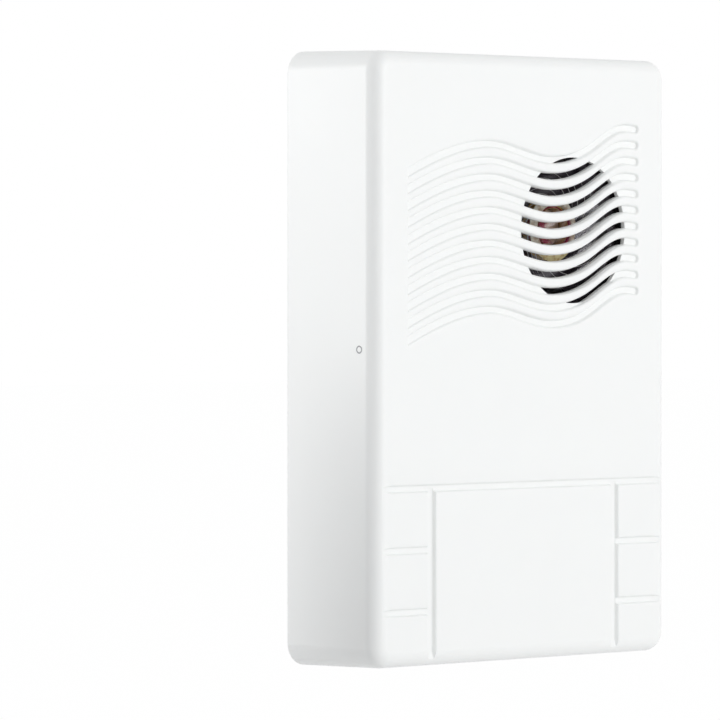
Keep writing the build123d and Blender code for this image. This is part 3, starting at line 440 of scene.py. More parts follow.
def open_foam():
    """Black open-cell foam strip: dull, pitted by its cells."""
    material, tree = new_material("open_cell_foam")
    cells = add(tree, "ShaderNodeTexVoronoi", {"Vector": in_grains(tree, 0.35 * MM), "Scale": 1.0})
    return principled(material, {
        "Base Color": ramp(tree, cells, (0.1, "#38363a"), (0.6, "#17161a")), "Roughness": 0.9,
    }, cells, 0.15 * MM, 1.0)


def as_object(name, data):
    """A new object in the scene."""
    obj = bpy.data.objects.new(name, data)
    bpy.context.scene.collection.objects.link(obj)
    return obj


def evaluated_mesh(obj):
    """A plain mesh of an object as its modifiers or its curve settings shape it."""
    graph = bpy.context.evaluated_depsgraph_get()
    graph.update()
    return bpy.data.meshes.new_from_object(obj.evaluated_get(graph), depsgraph=graph)


def applied(obj):
    """Turn the result of an object's modifiers into its plain mesh."""
    mesh = evaluated_mesh(obj)
    obj.modifiers.clear()
    obj.data = mesh
    return obj


def opened(mesh, weld=False):
    """A bmesh of a mesh, with corners in the same place joined if asked."""
    bm = bmesh.new()
    bm.from_mesh(mesh)
    if weld:
        bmesh.ops.remove_doubles(bm, verts=bm.verts, dist=WELD)
    return bm


def taken(obj):
    """The bmesh of an object that is used up."""
    bm = opened(obj.data)
    bpy.data.objects.remove(obj)
    return bm


def closed(name, bm):
    """A new object from a bmesh, which is used up."""
    mesh = bpy.data.meshes.new(name)
    bm.to_mesh(mesh)
    bm.free()
    return as_object(name, mesh)


def from_bmesh(name, bm, upright=True):
    """A new object from a bmesh drawn with x across the wall, y up it and z out from it."""
    bmesh.ops.recalc_face_normals(bm, faces=bm.faces)
    if upright:
        bmesh.ops.transform(bm, matrix=STAND_UP, verts=bm.verts)
    return closed(name, bm)


def join_bmeshes(*parts):
    """One bmesh that holds several."""
    whole = bmesh.new()
    for part in parts:
        mesh = bpy.data.meshes.new("part")
        part.to_mesh(mesh)
        part.free()
        whole.from_mesh(mesh)
        bpy.data.meshes.remove(mesh)
    return whole


def finish_mesh(obj, sharp=30.0):
    """Smooth shading with sharp edges kept, and flat faces left flat."""
    obj.data.shade_smooth()
    obj.data.set_sharp_from_angle(angle=radians(sharp))
    obj.modifiers.new("flat faces", "WEIGHTED_NORMAL").keep_sharp = True
    return obj


def place_piece(obj, body, slot, material, *nodes):
    """Give a piece its material and body, and hide the nodes that it stands for; its slot is not
    used.
    A piece given two levels out from the wall in place of a body is left where it is, tied to no
    body;
    the levels are not used."""
    obj.data.materials.clear()
    obj.data.materials.append(material)
    if isinstance(body, str):
        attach(obj, body)
    else:
        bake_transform(obj)
    if nodes:
        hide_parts(*nodes)


def make_piece(name, bm, body, slot, material, *nodes, sharp=30.0):
    """Finish a piece drawn as a bmesh and place it."""
    place_piece(finish_mesh(from_bmesh(name, bm), sharp), body, slot, material, *nodes)


def soften_piece(node, name, width, segments, slot, material, body="base"):
    """Place a copy of a CAD node with its edges rounded by a width in millimetres."""
    bm = opened(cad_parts[node].data, weld=True)
    bmesh.ops.dissolve_limit(bm, angle_limit=radians(0.5), verts=bm.verts, edges=bm.edges)
    obj = closed(name, bm)
    if width:
        bevel = obj.modifiers.new("soft edges", "BEVEL")
        bevel.width = width * MM
        bevel.segments = segments
        bevel.limit_method = "ANGLE"
        bevel.angle_limit = radians(32)
        applied(obj)
    place_piece(finish_mesh(obj), body, slot, material, node)


def grown(obj, rule, values):
    """Run a Geometry Nodes rule on an object and keep the result as a plain mesh. Its tree has
    a named input for each value and ends in Realize Instances and Set Material."""
    tree = bpy.data.node_groups.new(rule.__name__, "GeometryNodeTree")

    def socket(name, way, kind):
        return tree.interface.new_socket(name, in_out=way, socket_type="NodeSocket" + kind)

    socket("Geometry", "INPUT", "Geometry")
    sockets = [socket(name, "INPUT", type(value).__name__.title())
               for name, value in values.items()]
    socket("Geometry", "OUTPUT", "Geometry")
    given = add(tree, "NodeGroupInput").outputs
    real = add(tree, "GeometryNodeRealizeInstances", {"Geometry": rule(tree, given)})
    add(tree, "NodeGroupOutput", {"Geometry": add(tree, "GeometryNodeSetMaterial", {
        "Geometry": real, "Material": given["Material"]})})
    modifier = obj.modifiers.new(tree.name, "NODES")
    modifier.node_group = tree
    for item, value in zip(sockets, values.values()):
        modifier[item.identifier] = value
    return applied(obj)


def wound_wire(tree, given):
    """A round wire wound with a steady pitch from one radius to another."""
    spiral = add(tree, "GeometryNodeCurveSpiral", {name: given[name] for name in (
        "Resolution", "Rotations", "Start Radius", "End Radius", "Height")})
    section = add(tree, "GeometryNodeCurvePrimitiveCircle", {
        "Resolution": given["Sides"], "Radius": given["Wire Radius"]})
    return add(tree, "GeometryNodeCurveToMesh", {
        "Curve": spiral, "Profile Curve": section, "Fill Caps": True})


def row_of_copies(tree, given):
    """Copies of the given mesh in a straight row."""
    step = add(tree, "ShaderNodeCombineXYZ", {"Y": given["Pitch"]})
    line = add(tree, "GeometryNodeMeshLine", {"Count": given["Count"], "Offset": step},
               mode="OFFSET")
    return add(tree, "GeometryNodeInstanceOnPoints", {
        "Points": line, "Instance": given["Geometry"]})


def copies_at_places(tree, given):
    """A copy of a shape at every vertex of the given mesh, each turned by a random share of the
    given angle."""
    shape = add(tree, "GeometryNodeObjectInfo", {"Object": given["Shape"]})
    turn = add(tree, "FunctionNodeRandomValue", {"Seed": given["Seed"], 3: given["Turn"]},
               data_type="FLOAT")
    angles = add(tree, "ShaderNodeCombineXYZ", {"Z": turn.outputs[1]})
    return add(tree, "GeometryNodeInstanceOnPoints", {
        "Points": given["Geometry"], "Instance": shape.outputs["Geometry"],
        "Rotation": add(tree, "FunctionNodeEulerToRotation", {0: angles})})


def scattered(name, shape, places, material, turn=0.0, seed=3):
    """One piece made of a shape repeated at places, all still lying flat; the shape is used up."""
    mesh = bpy.data.meshes.new(name)
    mesh.from_pydata([tuple(p) for p in places], [], [])
    obj = grown(as_object(name, mesh), copies_at_places,
                {"Shape": shape, "Turn": turn, "Seed": seed, "Material": material})
    bpy.data.objects.remove(shape)
    obj.data.transform(STAND_UP)
    return finish_mesh(obj)


def wound(values):
    """A bmesh of wire wound up from level zero, by the values of its rule."""
    return taken(grown(as_object("coil", bpy.data.meshes.new("coil")), wound_wire, values))


def moved(bm, centre, turn=Matrix.Identity(4)):
    """A bmesh, turned and then moved from the origin to a centre."""
    bmesh.ops.transform(bm, matrix=Matrix.Translation(centre) @ turn, verts=bm.verts)
    return bm


def stitch(bm, rings):
    """Faces between neighbouring closed rings of vertices."""
    for low, high in zip(rings, rings[1:]):
        for i in range(len(low)):
            j = (i + 1) % len(low)
            bm.faces.new((low[i], low[j], high[j], high[i]))


def prism(outline, low, high):
    """A bmesh of a flat outline drawn up from one level to another."""
    bm = bmesh.new()
    rings = [[bm.verts.new((x, y, level)) for x, y in outline] for level in (low, high)]
    stitch(bm, rings)
    for ring in rings:
        bm.faces.new(ring)
    return bm


def box_bmesh(low, high):
    """A bmesh of a box between two corners."""
    bm = bmesh.new()
    bmesh.ops.create_cube(bm, size=1)
    low, high = Vector(low), Vector(high)
    return moved(bm, (high + low) / 2, Matrix.Diagonal((*(high - low), 1)))


def lathe(profile, centre=(0, 0, 0), turn=Matrix.Identity(4), sides=96):
    """A bmesh turned about z from (radius, level) points; a radius of zero closes the pole."""
    bm = bmesh.new()
    turns = [2 * pi * i / sides for i in range(sides)]
    rings = [[bm.verts.new((radius * cos(a), radius * sin(a), level))
              for a in (turns if radius else [0])] for radius, level in profile]
    for low, high in zip(rings, rings[1:]):
        for i in range(sides):
            j = i + 1
            corners = dict.fromkeys((low[i % len(low)], low[j % len(low)],
                                     high[j % len(high)], high[i % len(high)]))
            if len(corners) > 2:
                bm.faces.new(list(corners))
    return moved(bm, centre, turn)


def arc_points(centre, radius, start, stop, steps):
    """Points on an arc between two angles in degrees, as (radius, level) pairs."""
    angles = [radians(start + (stop - start) * i / steps) for i in range(steps + 1)]
    return [(centre[0] + radius * cos(a), centre[1] + radius * sin(a)) for a in angles]


def drum(radius, high, soft, steps, *middle):
    """The side of a drum from level zero up, with both its edges rounded."""
    return [*arc_points((radius - soft, soft), soft, -90, 0, steps), *middle,
            *arc_points((radius - soft, high - soft), soft, 0, 90, steps)]


def quarter_arc(width, drop, steps):
    """A rounded shoulder that goes in by a width while it drops, without its first point."""
    angles = [pi / 2 * i / steps for i in range(1, steps + 1)]
    return [(width * (1 - sin(a)), drop * (1 - cos(a))) for a in angles]


def cut(obj, tool, operation="DIFFERENCE"):
    """Apply a Boolean of a tool object, which is used up."""
    modifier = obj.modifiers.new("cut", "BOOLEAN")
    modifier.object = tool
    modifier.operation = operation
    modifier.solver = "EXACT"
    applied(obj)
    bpy.data.objects.remove(tool)


WAVE_KNOTS = [  # share of the span, share of the rise, slope in those shares
    (0.0, 0.089, 2.6), (0.356, 0.646, 0.0), (0.631, 0.3745, 0.0),
    (0.786, 0.568, 2.69), (0.958, 1.0, 0.0), (1.0, 0.979, -0.95),
]
# Share of the span, share of the full width or depth.
WIDTH_KNOTS = [(0.0, 1.12), (0.15, 1.12), (0.28, 1.02), (0.36, 0.92), (0.63, 1.0), (1.0, 1.0)]
DEPTH_KNOTS = [(0.0, 0.42), (0.1, 0.5), (0.3, 0.7), (0.46, 1.0), (0.95, 1.0), (1.0, 0.7)]
STATIONS = 96  # steps along a groove
CAP_STEPS = 10  # steps round each of its ends


def wave(share, grille):
    """Height and slope of the wave at a share of its span."""
    for (x0, y0, s0), (x1, y1, s1) in zip(WAVE_KNOTS, WAVE_KNOTS[1:]):
        if share <= x1:
            break
    span = x1 - x0
    t = (share - x0) / span
    height = ((2 * t**3 - 3 * t**2 + 1) * y0 + (t**3 - 2 * t**2 + t) * span * s0
              + (3 * t**2 - 2 * t**3) * y1 + (t**3 - t**2) * span * s1)
    slope = ((6 * t**2 - 6 * t) * y0 / span + (3 * t**2 - 4 * t + 1) * s0
             + (6 * t - 6 * t**2) * y1 / span + (3 * t**2 - 2 * t) * s1)
    return height * grille.rise, slope * grille.rise / grille.span


def groove_ring(grille, extra, depth_share, front):
    """One closed line round a groove: its half width plus extra, at a share of the depth."""
    sweep = [i / STATIONS for i in range(STATIONS + 1)]
    turns = [pi * i / CAP_STEPS for i in range(1, CAP_STEPS)]
    around = [(1 - share, pi / 2) for share in sweep] + [(0, pi / 2 + turn) for turn in turns]
    around += [(share, -pi / 2) for share in sweep] + [(1, -pi / 2 + turn) for turn in turns]
    points = []
    for share, side_angle in around:
        height, slope = wave(share, grille)
        out = atan2(slope, 1) + side_angle
        half = np.interp(share, *np.transpose(WIDTH_KNOTS)) * grille.groove_width / 2 + extra
        depth = np.interp(share, *np.transpose(DEPTH_KNOTS)) * grille.groove_depth * depth_share
        x = max(-grille.left + share * grille.span + half * cos(out), -grille.left - extra / 2)
        points.append((x, grille.bottom + height + half * sin(out), front - depth))
    return points


def groove_mesh(grille, front):
    """One groove: rounded shoulders, steep walls and a flat floor."""
    bm = bmesh.new()
    radius, taper, shoulder_drop = grille.rib_radius, grille.slot_taper, 0.42
    lines = [  # half width beyond the groove's own, share of the depth
        (radius, 0.0), *quarter_arc(radius, shoulder_drop, 6), (-0.85 * taper, 0.86),
        (-taper, 0.93), (-taper - 0.06 * MM, 0.98), (-taper - 0.16 * MM, 1.0)]
    rings = [[bm.verts.new(p) for p in groove_ring(grille, extra, share, front)]
             for extra, share in lines]
    stitch(bm, rings)
    floor = rings[-1]
    side, cap = STATIONS + 1, CAP_STEPS - 1
    upper, left = floor[:side], floor[side:side + cap]
    lower, right = floor[side + cap:2 * side + cap][::-1], floor[2 * side + cap:]
    for i in range(side - 1):
        bm.faces.new((upper[i], upper[i + 1], lower[i + 1], lower[i]))
    bm.faces.new([upper[-1], *left, lower[-1]])
    bm.faces.new([lower[0], *right, upper[0]])
    return bm


def channel_cutters(grille, front):
    """The panel relief as cutting bars: the rows, then the two columns. Each has flared
    shoulders over a round floor, and runs out over the box's edge rounding."""
    shoulder, deep = grille.channel_radius, grille.channel_depth
    profile = [(2.6 * shoulder, 0.2 * MM), (1.26 * shoulder, 0.02 * MM),
               *quarter_arc(shoulder, -0.5 * deep, 5), (-0.08 * MM, -0.76 * deep),
               (-0.2 * MM, -0.92 * deep), (-0.42 * MM, -deep)]
    row_half, column_half, column_x = 0.75 * MM, 1.05 * MM, 28.5 * MM
    # From each knee out to its end, a bar rises by a share of its way.
    knee, reach, foot_knee, foot, rise = 40.6 * MM, 45.4 * MM, -64.2 * MM, -68 * MM, 0.24

    def bar(half, centre, stations, upright=False, deeper=1.0):
        """A bar through stations of (place, lift)."""
        bm = bmesh.new()
        section = [(half + extra, min(level, level * deeper)) for extra, level in profile]
        section += [(-side, level) for side, level in section[::-1]]
        rings = [[bm.verts.new((centre + side, place, front + level + lift) if upright
                               else (place, centre + side, front + level + lift))
                  for side, level in section] for place, lift in stations]
        stitch(bm, rings)
        bm.faces.new(rings[0][::-1])
        bm.faces.new(rings[-1])
        if bm.calc_volume(signed=True) < 0:
            bmesh.ops.reverse_faces(bm, faces=bm.faces)
        return bm

    run_out = rise * (reach - knee)
    top, *lower = -28.4 * MM, -41.95 * MM, -55.5 * MM
    rows = [bar(row_half, top, ((-reach, run_out), (-knee, 0), (knee, 0), (reach, run_out)))]
    columns = []
    for side in (-1, 1):
        rows += [bar(row_half, y, ((side * column_x, 0), (side * knee, 0),
                                   (side * reach, run_out))) for y in lower]
        columns.append(bar(column_half, side * column_x, (
            (top, 0), (foot_knee, 0), (foot, rise * (foot_knee - foot))), True, 1.25))
    return [from_bmesh(name, join_bmeshes(*bars))
            for name, bars in (("row_cutter", rows), ("column_cutter", columns))]


def rounded_ring(half_width, half_height, radius, level, corner_steps=14, side_steps=10):
    """A rounded rectangle as a closed line, always with the same number of points."""
    points = []
    corners = [Vector((sx * (half_width - radius), sy * (half_height - radius), level))
               for sx, sy in ((1, 1), (-1, 1), (-1, -1), (1, -1))]

    def on_corner(k, quarters):
        out = pi / 2 * quarters
        return corners[k] + Vector((radius * cos(out), radius * sin(out), 0))

    for k in range(4):
        points += [on_corner(k, k + i / corner_steps) for i in range(corner_steps + 1)]
        start, end = points[-1], on_corner((k + 1) % 4, k + 1)
        points += [start.lerp(end, i / side_steps) for i in range(1, side_steps)]
    return points


def inside(points, outline):
    """Which of the points lie inside a closed outline."""
    xs, ys = points[:, 0], points[:, 1]
    found = np.zeros(len(points), bool)
    for (x0, y0), (x1, y1) in zip(outline, np.roll(outline, -1, axis=0)):
        crosses = (y0 > ys) != (y1 > ys)
        with np.errstate(divide="ignore", invalid="ignore"):
            x_at = (x1 - x0) * (ys - y0) / (y1 - y0) + x0
        found ^= crosses & (xs < x_at)
    return found


def plane_with_holes(bm, outer, holes, level, spacing):
    """Triangles that fill a flat outline round its holes, with an even net of points."""
    lines = [outer] + holes
    owners = [v for ring in lines for v in ring]
    coords = [v.co.to_2d() for v in owners]
    edges, start = [], 0
    for ring in lines:
        edges += [(start + i, start + (i + 1) % len(ring)) for i in range(len(ring))]
        start += len(ring)
    outlines = [np.array([v.co.to_2d()[:] for v in ring]) for ring in lines]

    def on_plane(points):
        good = inside(points, outlines[0])
        for outline in outlines[1:]:
            good &= ~inside(points, outline)
        return good

    spans = [np.arange(low + spacing, high, spacing)
             for low, high in zip(outlines[0].min(0), outlines[0].max(0))]
    net = np.array([(x, y) for x in spans[0] for y in spans[1]])
    everything = np.vstack(outlines)
    coords += [Vector(point) for point in net[on_plane(net)]
               if np.min(np.hypot(*(everything - point).T)) > spacing * 0.4]
    verts, _, faces, originals, _, _ = delaunay_2d_cdt(coords, edges, [], 0, 1e-9)
    made = []
    for place, sources in zip(verts, originals):
        known = [owners[k] for k in sources if k < len(owners)]
        made.append(known[0] if known else bm.verts.new((place.x, place.y, level)))
    middles = np.array([np.mean([verts[i][:] for i in face], axis=0) for face in faces])
    for face, wanted in zip(faces, on_plane(middles)):
        corners = list(dict.fromkeys(made[i] for i in face))
        if wanted and len(corners) > 2:
            bm.faces.new(corners)


def cover_solid(case, grille, skin):
    """The whole cover as one closed bmesh, before the grooves over the speaker are opened."""
    front, draft, edge, lip = case.depth, case.draft, case.edge_radius, case.back_lip
    groove = groove_mesh(grille, front)
    groove_size, ring_size = len(groove.verts), 2 * (STATIONS + CAP_STEPS)
    bm = taken(grown(closed("groove_row", groove), row_of_copies,
                     {"Count": grille.count, "Pitch": grille.pitch, "Material": skin}))
    bm.verts.ensure_lookup_table()
    holes = [bm.verts[k * groove_size:k * groove_size + ring_size] for k in range(grille.count)]
    centre_in = edge * (1 - sin(draft)) / cos(draft)
    rounding = arc_points((-centre_in, front - edge), edge, 90, degrees(draft), 12)
    foot = front * tan(draft)
    sides = [((front - z) * tan(draft), z) for z in (front * 0.6, front * 0.3, 2 * lip, lip)]
    sides += [(foot - 0.3 * lip, 0.3 * lip), (foot - lip, 0)]
    inner_front = front - case.front_wall
    inner = [((front - z) * tan(draft) - case.wall, z) for z in (0, inner_front / 2, inner_front)]
    loops = [[bm.verts.new(p) for p in rounded_ring(
        case.front_width / 2 + lateral, case.front_height / 2 + lateral,
        max(case.corner_radius + lateral, 0.3 * MM), level)]
        for lateral, level in rounding + sides + inner]
    stitch(bm, loops)
    bm.faces.new(loops[-1])
    plane_with_holes(bm, loops[0], holes, front, 4 * MM)
    bmesh.ops.remove_doubles(bm, verts=bm.verts, dist=0.0005 * MM)
    return bm


class CHIME_OT_cover(bpy.types.Operator):
    """Mould the cover: drafted box, wave grille open over the speaker, panel relief"""

    bl_idname = "chime.cover"
    bl_label = "Cover"

    def execute(self, context):
        case, grille = context.scene.chime_case, context.scene.chime_grille
        skin = white_abs("moulded_white_abs", context.scene.chime_finishes.cover, 0.22, 0.006)
        cover = from_bmesh("moulded_cover", cover_solid(case, grille, skin))
        inner_front = case.depth - case.front_wall
        floor = groove_ring(grille, -grille.slot_taper - 0.005 * MM, 0, case.depth)
        slot = prism([point[:2] for point in floor], inner_front - MM,
                     case.depth - grille.groove_depth * 0.8)
        slots = grown(from_bmesh("slots", slot, upright=False), row_of_copies,
                      {"Count": grille.count, "Pitch": grille.pitch, "Material": skin})
        low, high = inner_front - 2 * MM, case.depth + MM
        disc = lathe([(0, low), (grille.opening_radius, low), (grille.opening_radius, high),
                      (0, high)], (grille.opening_x, grille.opening_y, 0), sides=128)
        cut(slots, from_bmesh("disc", disc, upright=False), "INTERSECT")
        slots.data.transform(STAND_UP)
        for cutter in (slots, *channel_cutters(grille, case.depth)):
            cut(cover, cutter)
        recess_x, recess_half, recess_low, recess_high = 25 * MM, 5 * MM, 10.2 * MM, 13.8 * MM
        wall_inside = case.front_height / 2 - case.wall
        recesses = []
        for side in (-1, 1):
            low, high = sorted((side * (wall_inside - 2 * MM), side * (wall_inside + MM)))
            recesses += [box_bmesh((x - recess_half, low, recess_low),
                                   (x + recess_half, high, recess_high))
                         for x in (-recess_x, recess_x)]
        cut(cover, from_bmesh("recesses", join_bmeshes(*recesses)))
        rib_x, rib_half, rib_reach, clearance = 15 * MM, 0.6 * MM, 13.9 * MM, 0.5 * MM
        rib_low = wall_box("cell_jackets")[1].z + clearance
        ribs = [box_bmesh((x - rib_half, cells_at.y - rib_reach, rib_low),
                          (x + rib_half, cells_at.y + rib_reach, inner_front + 0.3 * MM))
                for x in (-rib_x, rib_x)]
        cut(cover, from_bmesh("ribs", join_bmeshes(*ribs)), "UNION")
        place_piece(finish_mesh(cover, 38), "cover", "cover_plastic", skin, "front_cover")
        return {"FINISHED"}


class CHIME_OT_numeral(bpy.types.Operator):
    """Print the small plain figure on the left side"""

    bl_idname = "chime.numeral"
    bl_label = "Printed numeral"

    def execute(self, context):
        case, colour = context.scene.chime_case, context.scene.chime_finishes.numeral
        half_height, half_width = case.numeral_size / 2, case.numeral_size * 1.05 / 2
        level, up, stroke, lift = 23.2 * MM, 2.2 * MM, 0.3 * MM, 0.012 * MM
        side = case.front_width / 2 + (case.depth - level) * tan(case.draft)
        sides = 40
        turns = [2 * pi * i / sides for i in range(sides)]
        bm = bmesh.new()
        rings = []
        for inset, out in ((0, -lift), (0, lift), (stroke, lift), (stroke, -lift)):
            spots = [((half_width - inset) * cos(a), (half_height - inset) * sin(a))
                     for a in turns]
            rings.append([bm.verts.new((across * tan(case.draft) - side - out, up + rise,
                                        level + across)) for across, rise in spots])
        stitch(bm, rings + [rings[0]])
        # Pad-printed grey ink, a little uneven and duller than the plastic under it.
        ink = coating("pad_printed_ink", (shade(colour, -0.12), shade(colour, 0.08)),
                      (0.25 * MM, 3.0), {"Roughness": 0.6, "IOR": 1.5}, (0.35, 0.65))
        make_piece("printed_figure", bm, "cover", "cover_plastic", ink)
        return {"FINISHED"}


class CHIME_OT_base_plate(bpy.types.Operator):
    """Soften the base plate's edges and give it its moulded finish"""

    bl_idname = "chime.base_plate"
    bl_label = "Base plate"

    def execute(self, context):
        plate = white_abs("moulded_plate_abs", context.scene.chime_finishes.plate, 0.3, 0.01)
        soften_piece("base_plate", "moulded_base_plate", 0.18, 2, "plate_plastic", plate)
        rubber = dull_plastic("moulded_black_rubber", "#26262a", 0.75)
        soften_piece("cable_grommet", "soft_grommet", 0.3, 3, "black_rubber", rubber)
        return {"FINISHED"}


class CHIME_OT_cells(bpy.types.Operator):
    """Turn the two cells: cans, sleeves and card washers"""

    bl_idname = "chime.cells"
    bl_label = "Cells"

    def execute(self, context):
        finishes = context.scene.chime_finishes
        sleeve_low, sleeve_high = wall_box("cell_jackets")
        sleeve = (sleeve_high.z - sleeve_low.z) / 2
        body, nub, nub_radius, nub_soft = 49.3 * MM, 1.2 * MM, 2.75 * MM, 0.3 * MM
        can_profile = [  # dished foot, rolled shoulders and a raised nub
            (0, 0.25 * MM), (can_radius * 0.62, 0.25 * MM), (can_radius * 0.7, 0),
            *drum(can_radius, body, 0.6 * MM, 5),
            (nub_radius + 0.5 * MM, body), (nub_radius, body + 0.15 * MM),
            *arc_points((nub_radius - nub_soft, body + nub - nub_soft), nub_soft, 0, 90, 4),
            (0, body + nub)]
        hole, card = 3.4 * MM, 0.3 * MM
        washer_profile = [(hole, body), (hole, body + card), (can_radius - 0.9 * MM, body + card),
                          (can_radius - 0.5 * MM, body), (hole, body)]
        inner = can_radius + 0.01 * MM
        lip = (inner - 0.8 * MM, 0.05 * MM)
        sleeve_profile = [lip, (inner - 0.3 * MM, 0.02 * MM), *drum(sleeve, body, 0.4 * MM, 4),
                          (lip[0], body - lip[1]), (inner, body - 0.6 * MM), (inner, 0.6 * MM),
                          lip]
        ends = ((1, cans_high, "upper"), (-1, cans_low, "lower"))

        def at_both(profile):
            return [lathe(profile, (corner.x - side * (body + nub),
                                    corner.y - side * can_radius, cells_at.z),
                          Matrix.Rotation(side * pi / 2, 4, "Y"), 72)
                    for side, corner, _ in ends]

        make_piece("steel_cell_cans", join_bmeshes(*at_both(can_profile)), "base", "cell_steel",
                   plated_metal("nickel_plated_steel", "#c9c6be", 0.25, 0.05), "cell_cans")
        make_piece("card_washers", join_bmeshes(*at_both(washer_profile)), "base", "white_card",
                   dull_plastic("pressed_white_card", "#e6e4dc", 0.85), "cell_washers")
        band = 13 * MM
        for bm, (side, corner, name) in zip(at_both(sleeve_profile), ends):
            start, stop = sorted((corner.x, corner.x - side * band))
            skin = banded_sleeve("printed_sleeve_" + name, "X", start, stop, finishes.jacket,
                                 finishes.jacket_band, 0.25)
            make_piece("shrunk_sleeve_" + name, bm, "base", "cell_jacket", skin, "cell_jackets")
        return {"FINISHED"}


class CHIME_OT_springs(bpy.types.Operator):
    """Wind the battery springs and soften the pressed contacts"""

    bl_idname = "chime.springs"
    bl_label = "Springs and contacts"

    def execute(self, context):
        low, high = wall_box("battery_springs")
        wire, turns, pitch = 0.35 * MM, 4.0, 1.25 * MM
        nickel = plated_metal("nickel_plated_spring_steel", "#cfcbc2", 0.22, 0.05)
        coils = []
        for side, corner, foot in ((1, cans_high, low.x + wire), (-1, cans_low, high.x - wire)):
            coil = wound({
                "Resolution": 40, "Rotations": turns, "Start Radius": 4.3 * MM,
                "End Radius": 3.1 * MM, "Height": turns * pitch, "Wire Radius": wire,
                "Sides": 10, "Material": nickel})
            coils.append(moved(coil, (foot, corner.y - side * can_radius, cells_at.z),
                               Matrix.Rotation(side * pi / 2, 4, "Y")))
        make_piece("wound_springs", join_bmeshes(*coils), "base", "nickel_spring", nickel,
                   "battery_springs", sharp=60)
        for node in ("negative_tab", "positive_tab", "series_contact"):
            soften_piece(node, "pressed_" + node, 0.08, 2, "nickel_spring", nickel)
        return {"FINISHED"}


class CHIME_OT_board(bpy.types.Operator):
    """Finish the circuit board, its chip, legs and solder"""

    bl_idname = "chime.board"
    bl_label = "Circuit board"

    def execute(self, context):
        laminate = laminate_board(context.scene.chime_finishes.board)
        soften_piece("circuit_board", "drilled_circuit_board", 0.08, 1, "board_laminate", laminate)
        low, high = wall_box("melody_chip")
        radius, height = (high.x - low.x) / 2, high.z - low.z
        steps = 12
        turns = [pi / 2 * i / steps for i in range(steps)]
        drop = lathe([(radius * cos(a), low.z + height * sin(a) ** 0.8) for a in turns]
                     + [(0, high.z)], (*((low + high) / 2).xy, 0), sides=64)
        bmesh.ops.edgeloop_fill(drop, edges=[e for e in drop.edges if e.is_boundary])
        make_piece("resin_drop", drop, "base", "black_resin",
                   dull_plastic("cast_black_resin", "#1d1c1e", 0.22, 1.4, 0.05), "melody_chip")
        wire = plated_metal("tinned_copper_wire", "#cfcfcc", 0.25, 0.05)
        solder = plated_metal("reflowed_solder", "#c6c7c8", 0.2, 0.08, 0.4)
        soften_piece("component_legs", "tinned_legs", 0, 0, "tinned_wire", wire)
        soften_piece("solder_joints", "solder_cones", 0.12, 2, "solder", solder)
        soften_piece("lead_solder", "solder_drops", 0.28, 4, "solder", solder)
        return {"FINISHED"}


def capacitor_profile(radius, height):
    """A capacitor can with rounded edges and a crimped groove, as (radius, level) pairs."""
    soft, groove, depth = 0.4 * MM, 1.45 * MM, 0.28 * MM
    crimp = [(radius, groove - 0.35 * MM), (radius - depth, groove - 0.1 * MM),
             (radius - depth, groove + 0.1 * MM), (radius, groove + 0.35 * MM)]
    return [(0, 0), (radius - soft, 0), *drum(radius, height, soft, 4, *crimp),
            (radius - 0.75 * MM, height), (radius - 0.85 * MM, height - 0.06 * MM),
            (0, height - 0.06 * MM)]


def resistor_profile(end, span):
    """A resistor body: two rounded end caps and a waist, as (radius, level) pairs."""
    soft, waist = 0.45 * end, 0.86 * end
    middle = [(end, 0.22 * span), (waist, 0.3 * span), (waist, 0.7 * span), (end, 0.78 * span)]
    return [(0, 0), (soft, 0), *drum(end, span, soft, 4, *middle), (soft, span), (0, span)]


class CHIME_OT_components(bpy.types.Operator):
    """Make the capacitors, transistor, resistors, diode and terminal block"""

    bl_idname = "chime.components"
    bl_label = "Components"

    def execute(self, context):
        board_x, board_y, _ = (board_low + board_high) / 2
        across, up, _ = board_high - board_low
        low, high = wall_box("electrolytic_cans")
        # Places as shares of the board from its middle, radius in millimetres.
        cans = [lathe(capacitor_profile(radius * MM, high.z - low.z),
                      (board_x + x_share * across, board_y + y_share * up, low.z), sides=56)
                for x_share, y_share, radius in ((0.217, -0.171, 3.15), (0.25, 0.047, 2.5))]
        stripe_at = board_x + 0.217 * across + 2.3 * MM
        sleeve = banded_sleeve("shrunk_can_sleeve", "X", stripe_at, stripe_at + 2 * MM,
                               "#1b2340", "#b9bcc6", 0.3)
        make_piece("sleeved_capacitor_cans", join_bmeshes(*cans), "base", "can_sleeve", sleeve,
                   "electrolytic_cans", sharp=40)
        lacquer = dull_plastic("dipped_orange_lacquer", "#c9782a", 0.35, 1.2, 0.08)
        soften_piece("disc_capacitors", "dipped_discs", 0, 0, "disc_lacquer", lacquer)
        epoxy = dull_plastic("moulded_epoxy", "#232325", 0.55)
        soften_piece("transistor", "moulded_transistor", 0.12, 2, "transistor_resin", epoxy)
        low, high = wall_box("resistors")
        centre = (low + high) / 2
        bodies = [lathe(resistor_profile((high.z - low.z) / 2, high.x - low.x),
                        (low.x, board_y + y_share * up, centre.z),
                        Matrix.Rotation(pi / 2, 4, "Y"), 40) for y_share in (0.408, 0.31, 0.213)]
        make_piece("lacquered_resistors", join_bmeshes(*bodies), "base", "resistor_lacquer",
                   banded_resistor(centre.x), "resistors", sharp=50)
        diode_top = wall_box("diode")[1].y
        glass = banded_sleeve("sealed_amber_glass", "Z", diode_top - 1.0 * MM,
                              diode_top - 0.5 * MM, "#a3401c", "#16161a", 0.1)
        soften_piece("diode", "sealed_diode", 0, 0, "diode_glass", glass)
        green = dull_plastic("moulded_green_polyamide", "#1f7a4a", 0.45)
        soften_piece("terminal_block", "moulded_terminal_block", 0.15, 2, "terminal_plastic", green)
        brass = plated_metal("plated_brass", "#cdb169", 0.3, 0.06)
        soften_piece("terminal_clamps", "brass_clamps", 0.1, 1, "terminal_brass", brass)
        return {"FINISHED"}


